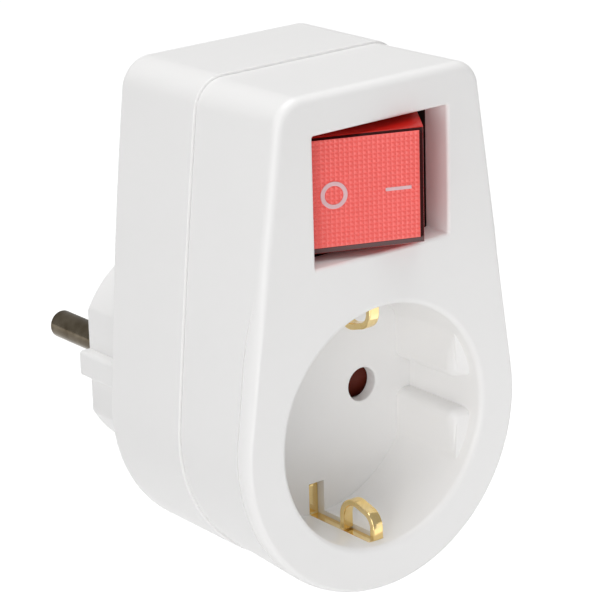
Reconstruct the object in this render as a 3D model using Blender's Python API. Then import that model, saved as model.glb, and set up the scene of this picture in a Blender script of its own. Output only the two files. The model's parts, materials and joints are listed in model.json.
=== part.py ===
"""Earthed socket adapter with a plug behind, a shuttered socket in front and a lit two-pole rocker switch.

Lengths are in millimetres here and become metres in the scene. +Z is up, the socket faces -Y and the
pins point along +Y. The origin is the middle of the plug's end face.
"""

import math

import bmesh
import bpy
from mathutils import Matrix

MM = 0.001

# Clearances between pieces
FIT = 0.3
SHAFT_FIT = 0.1
SLOT_FIT = 0.2

# Socket: recess, lip, guides and pin holes
SOCKET_RADIUS = 19.75
SOCKET_DEPTH = 17.4
MOUTH_ROUND = 0.9
CUP_WALL = 2.6
FLOOR = 2.1
PIN_SPACING = 19.0
PIN_HOLE_RADIUS = 2.8
GUIDE_FLAT = 16.75
GUIDE_GROOVE = 5.4
GUIDE_START = 2.5
GUIDE_SLOPE = 1.6

# Switch window above the socket
WINDOW_WIDTH = 26.4
WINDOW_HEIGHT = 20.6
WINDOW_ROUND = 0.6
WINDOW_CORNER = 0.3
SOCKET_TO_WINDOW = 8.9
COLLAR_WALL = 1.4
COLLAR_DEPTH = 5.3

# Housing shells
BODY_DEPTH = 39.5
FRONT_DEPTH = 19.8
WALL = 2.0
RING_WIDTH = 7.25
WINDOW_TO_SIDE = 6.6
WINDOW_TO_TOP = 6.35
FRONT_CORNER = 4.8
PARTING_CORNER = 5.5
REAR_CORNER = 6.6
FRONT_EDGE = 1.35
REAR_EDGE = 1.0
LIP_INSET = 1.1
LIP_HEIGHT = 1.6

# How the outline changes from the front face to the parting line and the rear face
PARTING_TOP_FLARE = 0.5
PARTING_FOOT_TAPER = 1.35
PARTING_BOW = 0.2
REAR_TOP_FLARE = 0.25
REAR_FOOT_TAPER = 2.05
REAR_BOW = 0.4

# Plug behind the housing
PLUG_LENGTH = 17.8
PLUG_RADIUS = 18.8
PLUG_FLAT = 16.6
PLUG_RIB = 4.4
PLUG_WALL = 1.9
PLUG_EDGE = 0.7
END_WALL = 2.6
PIN_RADIUS = 2.4
PIN_LENGTH = 18.7
PIN_EDGE = 0.8
PIN_HEAD_RADIUS = 3.2
PIN_HEAD = 1.2
PIN_TAIL_RADIUS = 1.6
PIN_TAIL = 4.0

# Housing screws
SCREW_RADIUS = 1.3
SCREW_HEAD_RADIUS = 2.5
SCREW_HEAD = 1.8
SCREW_LENGTH = 14.0
SCREW_INSET = 4.8
SCREW_RISE = 1.25
SCREW_SEAT = 7.0
FRONT_BOSS_RADIUS = 2.9
REAR_BOSS_RADIUS = 3.9

# Shutter behind the socket floor
SHUTTER_THICKNESS = 1.4
SHUTTER_HALF_WIDTH = 3.1
SHUTTER_HUB_RADIUS = 4.2
SHUTTER_REACH = 3.2
SHUTTER_RAMP = 0.8
POST_RADIUS = 2.1
POST_TIP = 0.2
RETAINER_RADIUS = 4.2
RETAINER_THICKNESS = 0.6
SPRING_WIRE = 0.25
SPRING_TURNS = 2.5
SPRING_PITCH = 0.6
STOP_RADIUS = 0.9
STOP_HEIGHT = 7.2

# Brass contacts and their carrier
STRIP = 0.8
CONTACT_WIDTH = 7.4
CONTACT_GAP = 2.2
CONTACT_MOUTH = 3.6
CONTACT_TIP = 4.0
TAB_WIDTH = 3.0
TAB_HEIGHT = 5.0
CARRIER_RADIUS = 18.4
CARRIER_THICKNESS = 2.0
CARRIER_NOTCH = 4.4
RIVET_RADIUS = 1.0
RIVET_HEAD_RADIUS = 2.2
RIVET_HEAD = 0.8

# Earth straps
EARTH_STRIP = 1.0
EARTH_WIDTH = 2.0
EARTH_SLOT_HEIGHT = 14.9
EARTH_BEND = 0.8
EARTH_GROOVE = 1.85
EARTH_SUNK = 2.05
EARTH_BACKING = 1.0
LOOP_FRONT = 3.0
LOOP_LENGTH = 7.5
LOOP_HEIGHT = 6.0
LOOP_RISE = 0.6
LOOP_FRONT_BEND = 2.5
LOOP_BACK_BEND = 2.9
PLUG_EARTH_STRIP = 0.6
PLUG_EARTH_WIDTH = 5.0
PLUG_EARTH_BOW = 0.8

# Rocker switch
SWITCH_WALL = 1.4
SWITCH_ROOM = 0.4
SWITCH_FLOOR_ROOM = 1.3
ROCKER_TILT = 22.0
ROCKER_PIVOT = 8.2
ROCKER_REACH = 8.5
ROCKER_SKIRT = 3.5
ROCKER_GAP = 0.3
ROCKER_DRAFT = 0.875
ROCKER_END_GAP = 1.5
ROCKER_END_DRAFT = 2.35
ROCKER_CORNER = 0.4
ROCKER_EDGE = 0.65
ROCKER_WALL = 1.3
TRUNNION_RADIUS = 1.3
POLE_SPACING = 11.0
PLUNGER_RADIUS = 1.15
PLUNGER_REACH = 10.3
PLUNGER_TUBE = 0.85
PLUNGER_SPRING_WIRE = 0.2
PLUNGER_SPRING_TURNS = 4.0
BRIDGE_TILT = 11.0
BRIDGE_HALF_LENGTH = 6.5
BRIDGE_WIDTH = 4.5
FIXED_CONTACT_OUT = 2.5
FIXED_CONTACT_IN = 1.9
LAMP_RADIUS = 2.2
LAMP_LENGTH = 10.0
RESISTOR_RADIUS = 1.1
RESISTOR_LENGTH = 5.0
RESISTOR_LEAD = 0.35
WIRE_RADIUS = 1.1
WIRE_LEAD = 2.5
WIRE_ROOM = 5.4

# Facets
ROUND_STEPS = 48
SMALL_STEPS = 20
CORNER_STEPS = 5
SIDE_STEPS = 4
FOOT_STEPS = 12
SHARP_ANGLE = 35.0

# Places that follow from the sizes
FRONT_Y = -(BODY_DEPTH + PLUG_LENGTH)
REAR_Y = -PLUG_LENGTH
PARTING_Y = FRONT_Y + FRONT_DEPTH
PIN_X = PIN_SPACING / 2
FLOOR_FRONT_Y = FRONT_Y + SOCKET_DEPTH
FLOOR_BACK_Y = FLOOR_FRONT_Y + FLOOR
WINDOW_Z = SOCKET_RADIUS + SOCKET_TO_WINDOW + WINDOW_HEIGHT / 2
BODY_TOP = WINDOW_Z + WINDOW_HEIGHT / 2 + WINDOW_TO_TOP
TOP_HALF = WINDOW_WIDTH / 2 + WINDOW_TO_SIDE
FOOT_RADIUS = SOCKET_RADIUS + RING_WIDTH
FOOT_BOTTOM = -FOOT_RADIUS
CARRIER_BACK_Y = REAR_Y - WALL - FIT
CARRIER_FRONT_Y = CARRIER_BACK_Y - CARRIER_THICKNESS
BORE_RADIUS = PLUG_RADIUS - PLUG_WALL
NOTCH_Z = math.sqrt((BORE_RADIUS - WIRE_RADIUS - 2 * FIT) ** 2 - PIN_X**2)
SHUTTER_Y = FLOOR_BACK_Y + FIT
SHUTTER_BACK_Y = SHUTTER_Y + SHUTTER_THICKNESS
SPRING_Y = SHUTTER_BACK_Y + FIT + SPRING_WIRE
RETAINER_Y = SPRING_Y + SPRING_TURNS * SPRING_PITCH + SPRING_WIRE + SLOT_FIT
POST_END_Y = RETAINER_Y + RETAINER_THICKNESS + POST_TIP
PIVOT_Y = FRONT_Y + ROCKER_PIVOT
COLLAR_BACK_Y = FRONT_Y + COLLAR_DEPTH
SWITCH_FRONT_Y = COLLAR_BACK_Y + FIT
SWITCH_HALF_WIDTH = WINDOW_WIDTH / 2 + SWITCH_ROOM
SWITCH_HALF_HEIGHT = WINDOW_HEIGHT / 2 + SWITCH_ROOM
ROCKER_SKIRT_LENGTH = WINDOW_WIDTH - 2 * ROCKER_END_GAP
ROCKER_SKIRT_HEIGHT = WINDOW_HEIGHT - 2 * ROCKER_GAP
ROCKER_FACE_LENGTH = ROCKER_SKIRT_LENGTH - 2 * ROCKER_END_DRAFT
ROCKER_FACE_HEIGHT = ROCKER_SKIRT_HEIGHT - 2 * ROCKER_DRAFT
TERMINAL_END_Y = CARRIER_FRONT_Y - WIRE_ROOM
BRIDGE_Y = PIVOT_Y + PLUNGER_REACH + FIT + STRIP / 2
TERMINAL_TOP_Y = BRIDGE_Y + STRIP / 2 + FIT
SWITCH_FLOOR_Y = TERMINAL_TOP_Y + STRIP + SWITCH_FLOOR_ROOM
SWITCH_BACK_Y = SWITCH_FLOOR_Y + SWITCH_WALL
FIXED_X = -(BRIDGE_HALF_LENGTH + FIXED_CONTACT_OUT)
POLES = {"line": WINDOW_Z - POLE_SPACING / 2, "neutral": WINDOW_Z + POLE_SPACING / 2}
SIDES = {"left": -1, "right": 1}

# Outlines as (top half width, corner radius, top, foot radius, foot centre height, bow of the sides)
FRONT_OUTLINE = (TOP_HALF, FRONT_CORNER, BODY_TOP, FOOT_RADIUS, 0.0, 0.0)
PARTING_OUTLINE = (
    TOP_HALF + PARTING_TOP_FLARE,
    PARTING_CORNER,
    BODY_TOP,
    FOOT_RADIUS - PARTING_FOOT_TAPER,
    FOOT_BOTTOM + FOOT_RADIUS - PARTING_FOOT_TAPER,
    PARTING_BOW,
)
REAR_OUTLINE = (
    TOP_HALF + REAR_TOP_FLARE,
    REAR_CORNER,
    BODY_TOP,
    FOOT_RADIUS - REAR_FOOT_TAPER,
    FOOT_BOTTOM + FOOT_RADIUS - REAR_FOOT_TAPER,
    REAR_BOW,
)

# Finishes as (linear colour, roughness, metallic)
WHITE_PLASTIC = ((0.76, 0.75, 0.74), 0.35, 0.0)
DARK_PLASTIC = ((0.03, 0.025, 0.025), 0.45, 0.0)
RED_PLASTIC = ((0.75, 0.06, 0.05), 0.2, 0.0)
BROWN_PLASTIC = ((0.08, 0.015, 0.008), 0.4, 0.0)
BEIGE_PLASTIC = ((0.6, 0.5, 0.35), 0.5, 0.0)
BRASS = ((0.72, 0.46, 0.16), 0.25, 1.0)
NICKEL = ((0.5, 0.46, 0.38), 0.25, 1.0)
STEEL = ((0.55, 0.55, 0.56), 0.3, 1.0)
GLASS = ((0.8, 0.7, 0.65), 0.05, 0.0)
BLUE_COVER = ((0.03, 0.09, 0.4), 0.5, 0.0)
BROWN_COVER = ((0.14, 0.06, 0.025), 0.5, 0.0)
WIRE_COVERS = {"line": BROWN_COVER, "neutral": BLUE_COVER}


def clear_scene():
    for obj in list(bpy.data.objects):
        bpy.data.objects.remove(obj, do_unlink=True)


def collection(name, hidden):
    made = bpy.data.collections.new(name)
    bpy.context.scene.collection.children.link(made)
    made.hide_render = hidden
    return made


def finish_of(name, finish):
    colour, roughness, metallic = finish
    made = bpy.data.materials.new(name + "_finish")
    made.use_nodes = True
    shader = made.node_tree.nodes["Principled BSDF"]
    shader.inputs["Base Color"].default_value = (*colour, 1.0)
    shader.inputs["Roughness"].default_value = roughness
    shader.inputs["Metallic"].default_value = metallic
    return made


def place(name, data, finish, origin, parent):
    """Links an object as a part, or as a hidden tool if it has no finish."""
    obj = bpy.data.objects.new(name, data)
    obj.location = [value * MM for value in origin]
    obj.parent = parent
    if finish:
        data.materials.append(finish_of(name, finish))
        PARTS.objects.link(obj)
        return obj
    TOOLS.objects.link(obj)
    obj.hide_render = True
    obj.display_type = "WIRE"
    return obj


def mesh_object(name, bm, finish=None, origin=(0, 0, 0), parent=None):
    """Turns a bmesh in millimetres, measured from origin, into an object."""
    bmesh.ops.remove_doubles(bm, verts=bm.verts, dist=1e-4)
    bmesh.ops.recalc_face_normals(bm, faces=bm.faces)
    bmesh.ops.scale(bm, vec=(MM, MM, MM), verts=bm.verts)
    data = bpy.data.meshes.new(name)
    bm.to_mesh(data)
    bm.free()
    data.shade_smooth()
    data.set_sharp_from_angle(angle=math.radians(SHARP_ANGLE))
    return place(name, data, finish, origin, parent)


def boolean(target, tool, operation):
    modifier = target.modifiers.new(tool.name, "BOOLEAN")
    modifier.operation = operation
    modifier.solver = "EXACT"
    modifier.object = tool
    if tool.parent is None:
        tool.parent = target
    return target


def cut(target, *tools):
    for tool in tools:
        boolean(target, tool, "DIFFERENCE")
    return target


def join(target, *tools):
    for tool in tools:
        boolean(target, tool, "UNION")
    return target


def arc(centre, radius, start, end, steps):
    """Points of an arc, with its angles in degrees."""
    angles = [math.radians(start + (end - start) * i / steps) for i in range(steps + 1)]
    return [(centre[0] + radius * math.cos(a), centre[1] + radius * math.sin(a)) for a in angles]


def loft(name, loops, **options):
    """A closed solid through loops of the same number of points."""
    bm = bmesh.new()
    rings = [[bm.verts.new(point) for point in loop] for loop in loops]
    for near, far in zip(rings, rings[1:]):
        for i in range(len(near)):
            bm.faces.new((near[i - 1], near[i], far[i], far[i - 1]))
    bm.faces.new(rings[0])
    bm.faces.new(rings[-1])
    return mesh_object(name, bm, **options)


def prism(name, points, low, high, axis="Y", **options):
    """A flat outline swept along one axis: points are (X, Z), (X, Y) or (Y, Z) for Y, Z and X."""
    order = {"X": (1, 2, 0), "Y": (0, 2, 1), "Z": (0, 1, 2)}[axis]
    loops = []
    for level in (low, high):
        loop = []
        for first, second in points:
            point = [0.0, 0.0, 0.0]
            point[order[0]] = first
            point[order[1]] = second
            point[order[2]] = level
            loop.append(point)
        loops.append(loop)
    return loft(name, loops, **options)


def box(name, low, high, **options):
    bm = bmesh.new()
    bmesh.ops.create_cube(bm, size=1.0)
    sizes = [top - bottom for bottom, top in zip(low, high)]
    middle = [(top + bottom) / 2 for bottom, top in zip(low, high)]
    bmesh.ops.scale(bm, vec=sizes, verts=bm.verts)
    bmesh.ops.translate(bm, vec=middle, verts=bm.verts)
    return mesh_object(name, bm, **options)


def turned(name, profile, x=0.0, z=0.0, steps=SMALL_STEPS, **options):
    """A solid turned about a line along Y: profile is (radius, y) from one end of the axis to the other."""
    bm = bmesh.new()
    verts = [bm.verts.new((x + radius, y, z)) for radius, y in profile]
    edges = [bm.edges.new(pair) for pair in zip(verts, verts[1:])]
    if profile[0][0] > 0:
        edges.append(bm.edges.new((verts[-1], verts[0])))
    bmesh.ops.spin(
        bm,
        geom=verts + edges,
        cent=(x, 0, z),
        axis=(0, 1, 0),
        angle=math.tau,
        steps=steps,
        use_merge=True,
    )
    return mesh_object(name, bm, **options)


def rod(name, radius, low, high, x=0.0, z=0.0, steps=SMALL_STEPS, **options):
    """A plain round bar along Y."""
    bm = bmesh.new()
    bmesh.ops.create_cone(
        bm, cap_ends=True, segments=steps, radius1=radius, radius2=radius, depth=high - low
    )
    bmesh.ops.rotate(bm, verts=bm.verts, matrix=Matrix.Rotation(math.pi / 2, 3, "X"))
    bmesh.ops.translate(bm, vec=(x, (low + high) / 2, z), verts=bm.verts)
    return mesh_object(name, bm, **options)


def offset_path(path, distance):
    """A path moved sideways by a distance, with mitred corners."""
    moved = []
    for i, point in enumerate(path):
        before = path[max(i - 1, 0)]
        after = path[min(i + 1, len(path) - 1)]
        normals = []
        for start, end in ((before, point), (point, after)):
            length = math.dist(start, end)
            if length:
                normals.append(((start[1] - end[1]) / length, (end[0] - start[0]) / length))
        mean = [sum(values) / len(normals) for values in zip(*normals)]
        size = mean[0] ** 2 + mean[1] ** 2
        moved.append((point[0] + distance * mean[0] / size, point[1] + distance * mean[1] / size))
    return moved


def strip(name, path, thickness, width, axis="X", middle=0.0, **options):
    """A bent strip of metal: path is its middle line, and its width lies along the axis."""
    points = offset_path(path, thickness / 2) + offset_path(path, -thickness / 2)[::-1]
    return prism(name, points, middle - width / 2, middle + width / 2, axis, **options)


def tube(name, points, radius, finish, resolution=2, smooth=True, parent=None):
    """A wire through points, as a curve with a round bevel."""
    data = bpy.data.curves.new(name, "CURVE")
    data.dimensions = "3D"
    data.bevel_depth = radius * MM
    data.bevel_resolution = resolution
    data.use_fill_caps = True
    data.resolution_u = 4
    spline = data.splines.new("BEZIER" if smooth else "POLY")
    handles = spline.bezier_points if smooth else spline.points
    handles.add(len(points) - 1)
    for handle, point in zip(handles, points):
        place_m = [value * MM for value in point]
        handle.co = place_m if smooth else (*place_m, 1.0)
        if smooth:
            handle.handle_left_type = handle.handle_right_type = "AUTO"
    return place(name, data, finish, (0, 0, 0), parent)


def coil(centre, radius, start, pitch, turns, steps=10):
    """Points of a helix about a line along Y, which ends on the left of that line."""
    count = int(turns * steps)
    points = []
    for i in range(count + 1):
        angle = math.pi - math.tau * (count - i) / steps
        y = start + pitch * i / steps
        points.append((centre[0] + radius * math.cos(angle), y, centre[1] + radius * math.sin(angle)))
    return points


def half_width(outline, height):
    """Half the housing's width at a height on its straight sides."""
    top_half, _, top, foot, centre, _ = outline
    return top_half + (foot - top_half) * (top - height) / (top - centre)


def body_loop(outline, inset, y):
    """The housing's outline: flat top, round corners, flared sides and a round foot."""
    top_half, corner, top, foot, centre, bow = outline
    foot -= inset
    corner = max(corner - inset, 0.5)
    across = top_half - inset - corner
    rise = top - inset - corner
    reach = math.hypot(across, rise - centre)
    lean = math.atan2(rise - centre, across) - math.acos((foot - corner) / reach)
    lean_deg = math.degrees(lean)
    start = (across + corner * math.cos(lean), rise + corner * math.sin(lean))
    end = (foot * math.cos(lean), centre + foot * math.sin(lean))
    half = arc((across, rise), corner, 90, lean_deg, CORNER_STEPS)
    for i in range(1, SIDE_STEPS):
        share = i / SIDE_STEPS
        bulge = bow * 4 * share * (1 - share)
        x = start[0] + (end[0] - start[0]) * share + bulge * math.cos(lean)
        z = start[1] + (end[1] - start[1]) * share + bulge * math.sin(lean)
        half.append((x, z))
    half += arc((0, centre), foot, lean_deg, -90, FOOT_STEPS)
    points = half + [(-x, z) for x, z in half[-2::-1]]
    return [(x, y, z) for x, z in points]


def blend(first, second, share):
    return tuple(a + (b - a) * share for a, b in zip(first, second))


def front_outline_at(y):
    return blend(FRONT_OUTLINE, PARTING_OUTLINE, (y - FRONT_Y) / FRONT_DEPTH)


def rear_outline_at(y):
    return blend(PARTING_OUTLINE, REAR_OUTLINE, (y - PARTING_Y) / (REAR_Y - PARTING_Y))


def rounding(radius, steps=3):
    """Steps of a quarter round, as (inset, depth)."""
    angles = [math.pi / 2 * i / steps for i in range(steps + 1)]
    return [(radius * (1 - math.sin(a)), radius * (1 - math.cos(a))) for a in angles]


def rectangle(half_width_mm, half_height_mm, corner, steps=3):
    """A rectangle with round corners about the middle, as (x, z)."""
    points = []
    for sign_x, sign_z, start in ((1, 1, 0), (-1, 1, 90), (-1, -1, 180), (1, -1, 270)):
        centre = (sign_x * (half_width_mm - corner), sign_z * (half_height_mm - corner))
        points += arc(centre, corner, start, start + 90, steps)
    return points


def window_loop(grow, y, corner=WINDOW_CORNER):
    points = rectangle(WINDOW_WIDTH / 2 + grow, WINDOW_HEIGHT / 2 + grow, corner + grow)
    return [(x, y, WINDOW_Z + z) for x, z in points]


def screw_places():
    z = SOCKET_RADIUS + SCREW_RISE
    x = half_width(REAR_OUTLINE, z) - SCREW_INSET
    return {name: (sign * x, z) for name, sign in SIDES.items()}


def front_shell():
    """The front half of the housing: outer wall, rim, rebate for the rear lip and hollow."""
    end = PARTING_Y - FIT / 2
    loops = []
    for inset, depth in rounding(FRONT_EDGE):
        y = FRONT_Y + depth
        loops.append(body_loop(front_outline_at(y), inset, y))
    loops.append(body_loop(front_outline_at(end), 0, end))
    rebate = PARTING_Y - LIP_HEIGHT - FIT
    loops += [body_loop(PARTING_OUTLINE, LIP_INSET - FIT, y) for y in (end, rebate)]
    inner = FRONT_Y + WALL
    loops += [body_loop(front_outline_at(y), WALL, y) for y in (rebate, inner)]
    return loft("front_housing", loops, finish=WHITE_PLASTIC)


def socket_recess():
    """The cutter for the recess, with a rounded lip."""
    profile = [(0, FLOOR_FRONT_Y), (SOCKET_RADIUS, FLOOR_FRONT_Y)]
    for inset, depth in reversed(rounding(MOUTH_ROUND)):
        profile.append((SOCKET_RADIUS + inset, FRONT_Y + depth))
    past = FRONT_Y - WALL
    profile += [(SOCKET_RADIUS + MOUTH_ROUND, past), (0, past)]
    return turned("socket_recess", profile, steps=ROUND_STEPS)


def socket_guide(sign_x, sign_z):
    """A flat-faced block in the recess that keeps a plug the right way round."""
    seat = SOCKET_RADIUS + CUP_WALL / 2
    low = GUIDE_GROOVE / 2
    high = math.sqrt(seat**2 - GUIDE_FLAT**2)
    ends = [math.degrees(math.atan2(z, math.sqrt(seat**2 - z**2))) for z in (high, low)]
    outline = [(GUIDE_FLAT, low)] + arc((0, 0), seat, ends[0], ends[1], 5)
    slope = GUIDE_SLOPE / (SOCKET_RADIUS - GUIDE_FLAT)
    front = []
    back = []
    for x, z in outline:
        drop = max(0.0, SOCKET_RADIUS - x) * slope
        front.append((sign_x * x, FRONT_Y + GUIDE_START + drop, sign_z * z))
        back.append((sign_x * x, FLOOR_FRONT_Y + FLOOR / 2, sign_z * z))
    return loft("socket_guide", [front, back])


def front_housing():
    shell = front_shell()
    root = FRONT_Y + WALL / 2
    join(shell, rod("cup", SOCKET_RADIUS + CUP_WALL, root, FLOOR_BACK_Y, steps=ROUND_STEPS))
    collar = [window_loop(COLLAR_WALL, y) for y in (root, COLLAR_BACK_Y)]
    join(shell, loft("window_collar", collar))
    window = [window_loop(WINDOW_ROUND, FRONT_Y - WALL)]
    window += [window_loop(inset, FRONT_Y + depth) for inset, depth in rounding(WINDOW_ROUND)]
    window.append(window_loop(0, COLLAR_BACK_Y + WALL))
    cut(shell, socket_recess(), loft("window_cut", window))
    for sign_x in SIDES.values():
        for sign_z in (1, -1):
            join(shell, socket_guide(sign_x, sign_z))
        cut(shell, rod("pin_hole", PIN_HOLE_RADIUS, FRONT_Y, PARTING_Y, sign_x * PIN_X))
    join(shell, rod("shutter_post", POST_RADIUS, FLOOR_BACK_Y - FLOOR / 2, POST_END_Y))
    join(shell, rod("spring_stop", STOP_RADIUS, FLOOR_BACK_Y - FLOOR / 2, POST_END_Y, z=STOP_HEIGHT))
    for x, z in screw_places().values():
        join(shell, rod("front_boss", FRONT_BOSS_RADIUS, root, PARTING_Y - FIT / 2, x, z))
        cut(shell, rod("pilot", SCREW_RADIUS + SLOT_FIT, FRONT_Y + 2 * WALL, PARTING_Y + WALL, x, z))
    for sign_z in (1, -1):
        join(shell, earth_backing(sign_z))
        cut(shell, *earth_clearances(sign_z))
    return shell


def earth_backing(sign_z):
    """A pad behind the socket floor that leaves a wall behind an earth spring's groove."""
    side = EARTH_WIDTH / 2 + SLOT_FIT + EARTH_BACKING
    inner = EARTH_SLOT_HEIGHT - EARTH_STRIP / 2 - SLOT_FIT - EARTH_BACKING
    outer = SOCKET_RADIUS + CUP_WALL - FIT
    low, high = sorted((sign_z * inner, sign_z * outer))
    back = FLOOR_BACK_Y + EARTH_BACKING
    return box("earth_backing", (-side, FLOOR_FRONT_Y + FLOOR / 2, low), (side, back, high))


def earth_clearances(sign_z):
    """The slot through the socket floor and the grooves in floor and wall for an earth spring."""
    side = EARTH_WIDTH / 2 + SLOT_FIT
    half = EARTH_STRIP / 2 + SLOT_FIT
    slot = EARTH_SLOT_HEIGHT
    bottom = SOCKET_RADIUS + EARTH_GROOVE
    back = FLOOR_FRONT_Y + EARTH_SUNK + SLOT_FIT
    spans = {
        "earth_slot": (slot - half, slot + half, FLOOR_FRONT_Y - FLOOR, FLOOR_BACK_Y + FLOOR),
        "floor_groove": (slot, bottom, FLOOR_FRONT_Y - FLOOR, back),
        "wall_groove": (SOCKET_RADIUS - WALL, bottom, FRONT_Y + LOOP_FRONT - half, back),
    }
    tools = []
    for name, (inner, outer, start, end) in spans.items():
        low, high = sorted((sign_z * inner, sign_z * outer))
        tools.append(box(name, (-side, start, low), (side, end, high)))
    return tools


def plug_outline(inset):
    """A round plug with a flat on each side and a guide rib along each flat, as (x, z)."""
    radius = PLUG_RADIUS - inset
    flat = PLUG_FLAT - inset
    rib = PLUG_RIB / 2 - inset
    flat_deg = math.degrees(math.acos(flat / radius))
    rib_x = math.sqrt(radius**2 - rib**2)
    quarter = [(rib_x, rib), (flat, rib)] + arc((0, 0), radius, flat_deg, 90, 9)
    half = quarter + [(-x, z) for x, z in quarter[-2::-1]]
    return half + [(x, -z) for x, z in reversed(half)]


def plug_bore():
    """The hollow of the plug, as (x, z)."""
    flat_deg = math.degrees(math.acos((PLUG_FLAT - PLUG_WALL) / BORE_RADIUS))
    right = arc((0, 0), BORE_RADIUS, flat_deg, 180 - flat_deg, 16)
    return right + [(x, -z) for x, z in reversed(right)]


def rear_shell():
    """The rear half of the housing: hollow, lip, rim and outer wall."""
    start = PARTING_Y + FIT / 2
    inner = REAR_Y - WALL
    lip = PARTING_Y - LIP_HEIGHT
    loops = [body_loop(rear_outline_at(inner), WALL, inner)]
    loops += [body_loop(PARTING_OUTLINE, WALL, y) for y in (PARTING_Y, lip)]
    loops += [body_loop(PARTING_OUTLINE, LIP_INSET, y) for y in (lip, start)]
    loops.append(body_loop(rear_outline_at(start), 0, start))
    for inset, depth in reversed(rounding(REAR_EDGE)):
        y = REAR_Y - depth
        loops.append(body_loop(rear_outline_at(y), inset, y))
    return loft("rear_housing", loops, finish=WHITE_PLASTIC)


def plug_body(shell):
    """Adds the hollow plug with its pin holes and earth slots to the rear shell."""
    loops = [[(x, REAR_Y - WALL / 2, z) for x, z in plug_outline(0)]]
    for inset, depth in reversed(rounding(PLUG_EDGE)):
        loops.append([(x, -depth, z) for x, z in plug_outline(inset)])
    join(shell, loft("plug", loops))
    cut(shell, prism("plug_bore", plug_bore(), REAR_Y - 2 * WALL, -END_WALL))
    for sign in SIDES.values():
        cut(shell, rod("pin_seat", PIN_RADIUS + SHAFT_FIT, -2 * END_WALL, END_WALL, sign * PIN_X))
    side = PLUG_EARTH_WIDTH / 2 + FIT
    for sign in (1, -1):
        ends = sorted((sign * (BORE_RADIUS - PLUG_WALL), sign * (BORE_RADIUS + 2 * PLUG_WALL)))
        low = (-side, REAR_Y + WALL, ends[0])
        high = (side, -END_WALL - SLOT_FIT, ends[1])
        cut(shell, box("plug_earth_slot", low, high))


def rear_housing():
    shell = rear_shell()
    plug_body(shell)
    for x, z in screw_places().values():
        start = PARTING_Y + FIT / 2
        seat = start + SCREW_SEAT
        join(shell, rod("rear_boss", REAR_BOSS_RADIUS, start, REAR_Y - WALL / 2, x, z))
        cut(
            shell,
            rod("shank_hole", SCREW_RADIUS + SLOT_FIT, start - WALL, seat + WALL, x, z),
            rod("head_hole", SCREW_HEAD_RADIUS + SLOT_FIT, seat, REAR_Y + WALL, x, z),
        )
    for sign in SIDES.values():
        inner = sign * (SWITCH_HALF_WIDTH - SWITCH_WALL)
        outer = sign * SWITCH_HALF_WIDTH
        low_x, high_x = sorted((inner, outer))
        rib_half = WINDOW_HEIGHT / 2 - WALL
        low = (low_x, SWITCH_BACK_Y + FIT, WINDOW_Z - rib_half)
        high = (high_x, REAR_Y - WALL / 2, WINDOW_Z + rib_half)
        join(shell, box("switch_rib", low, high))
    return shell


def housing_screw(name, x, z):
    seat = PARTING_Y + FIT / 2 + SCREW_SEAT
    head = seat + FIT
    top = head + SCREW_HEAD
    profile = [(0, top), (SCREW_HEAD_RADIUS - 0.5, top), (SCREW_HEAD_RADIUS, top - 0.5)]
    profile += [(SCREW_HEAD_RADIUS, head), (SCREW_RADIUS, head)]
    tip = head - SCREW_LENGTH
    profile += [(SCREW_RADIUS, tip + SCREW_RADIUS), (0, tip)]
    screw = turned("housing_screw_" + name, profile, x, z, finish=STEEL)
    slot = SCREW_HEAD_RADIUS * 0.14
    reach = SCREW_HEAD_RADIUS * 0.6
    depth = top - SCREW_HEAD / 2
    cut(screw, box("screw_slot_a", (x - slot, depth, z - reach), (x + slot, top + WALL, z + reach)))
    cut(screw, box("screw_slot_b", (x - reach, depth, z - slot), (x + reach, top + WALL, z + slot)))


def shutter():
    """A bar that covers both pin holes and turns on the post when both pins push on its ramps."""
    reach = PIN_X + SHUTTER_REACH
    half = SHUTTER_HALF_WIDTH
    tip_deg = math.degrees(math.asin(half / reach))
    hub_deg = math.degrees(math.asin(half / SHUTTER_HUB_RADIUS))
    right = arc((0, 0), reach, -tip_deg, tip_deg, 6)
    top = arc((0, 0), SHUTTER_HUB_RADIUS, hub_deg, 180 - hub_deg, 8)
    outline = right + top + [(-x, -z) for x, z in right] + [(-x, -z) for x, z in top]
    origin = (0, SHUTTER_Y, 0)
    bar = prism("shutter", outline, 0, SHUTTER_THICKNESS, finish=BROWN_PLASTIC, origin=origin)
    cut(bar, rod("shutter_bore", POST_RADIUS + SHAFT_FIT, -WALL, 2 * WALL))
    for sign in SIDES.values():
        ramp = [(-WALL, 0), (-WALL, -sign * 2 * half), (0, -sign * 2 * half), (SHUTTER_RAMP, -sign * half), (0, 0)]
        ends = sorted((sign * (SHUTTER_HUB_RADIUS + FIT), sign * 2 * reach))
        cut(bar, prism("shutter_ramp", ramp, ends[0], ends[1], "X"))
    return bar


def shutter_spring():
    """A torsion spring round the post, with one leg against the stop."""
    radius = POST_RADIUS + SPRING_WIRE + 2 * SLOT_FIT
    turns = coil((0, 0), radius, SPRING_Y, SPRING_PITCH, SPRING_TURNS)
    x, y, z = turns[0]
    first = (x + z, y, z - x)
    last_y = turns[-1][1]
    side = -(STOP_RADIUS + SPRING_WIRE + SLOT_FIT)
    leg = [(-radius, last_y, STOP_HEIGHT / 2), (side, last_y, STOP_HEIGHT)]
    tube("shutter_spring", [first] + turns + leg, SPRING_WIRE, STEEL, resolution=1, smooth=False)


def shutter_retainer():
    end = RETAINER_Y + RETAINER_THICKNESS
    bore = POST_RADIUS + SHAFT_FIT
    profile = [(bore, RETAINER_Y), (RETAINER_RADIUS, RETAINER_Y), (RETAINER_RADIUS, end), (bore, end)]
    turned("shutter_retainer", profile, finish=STEEL)


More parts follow.
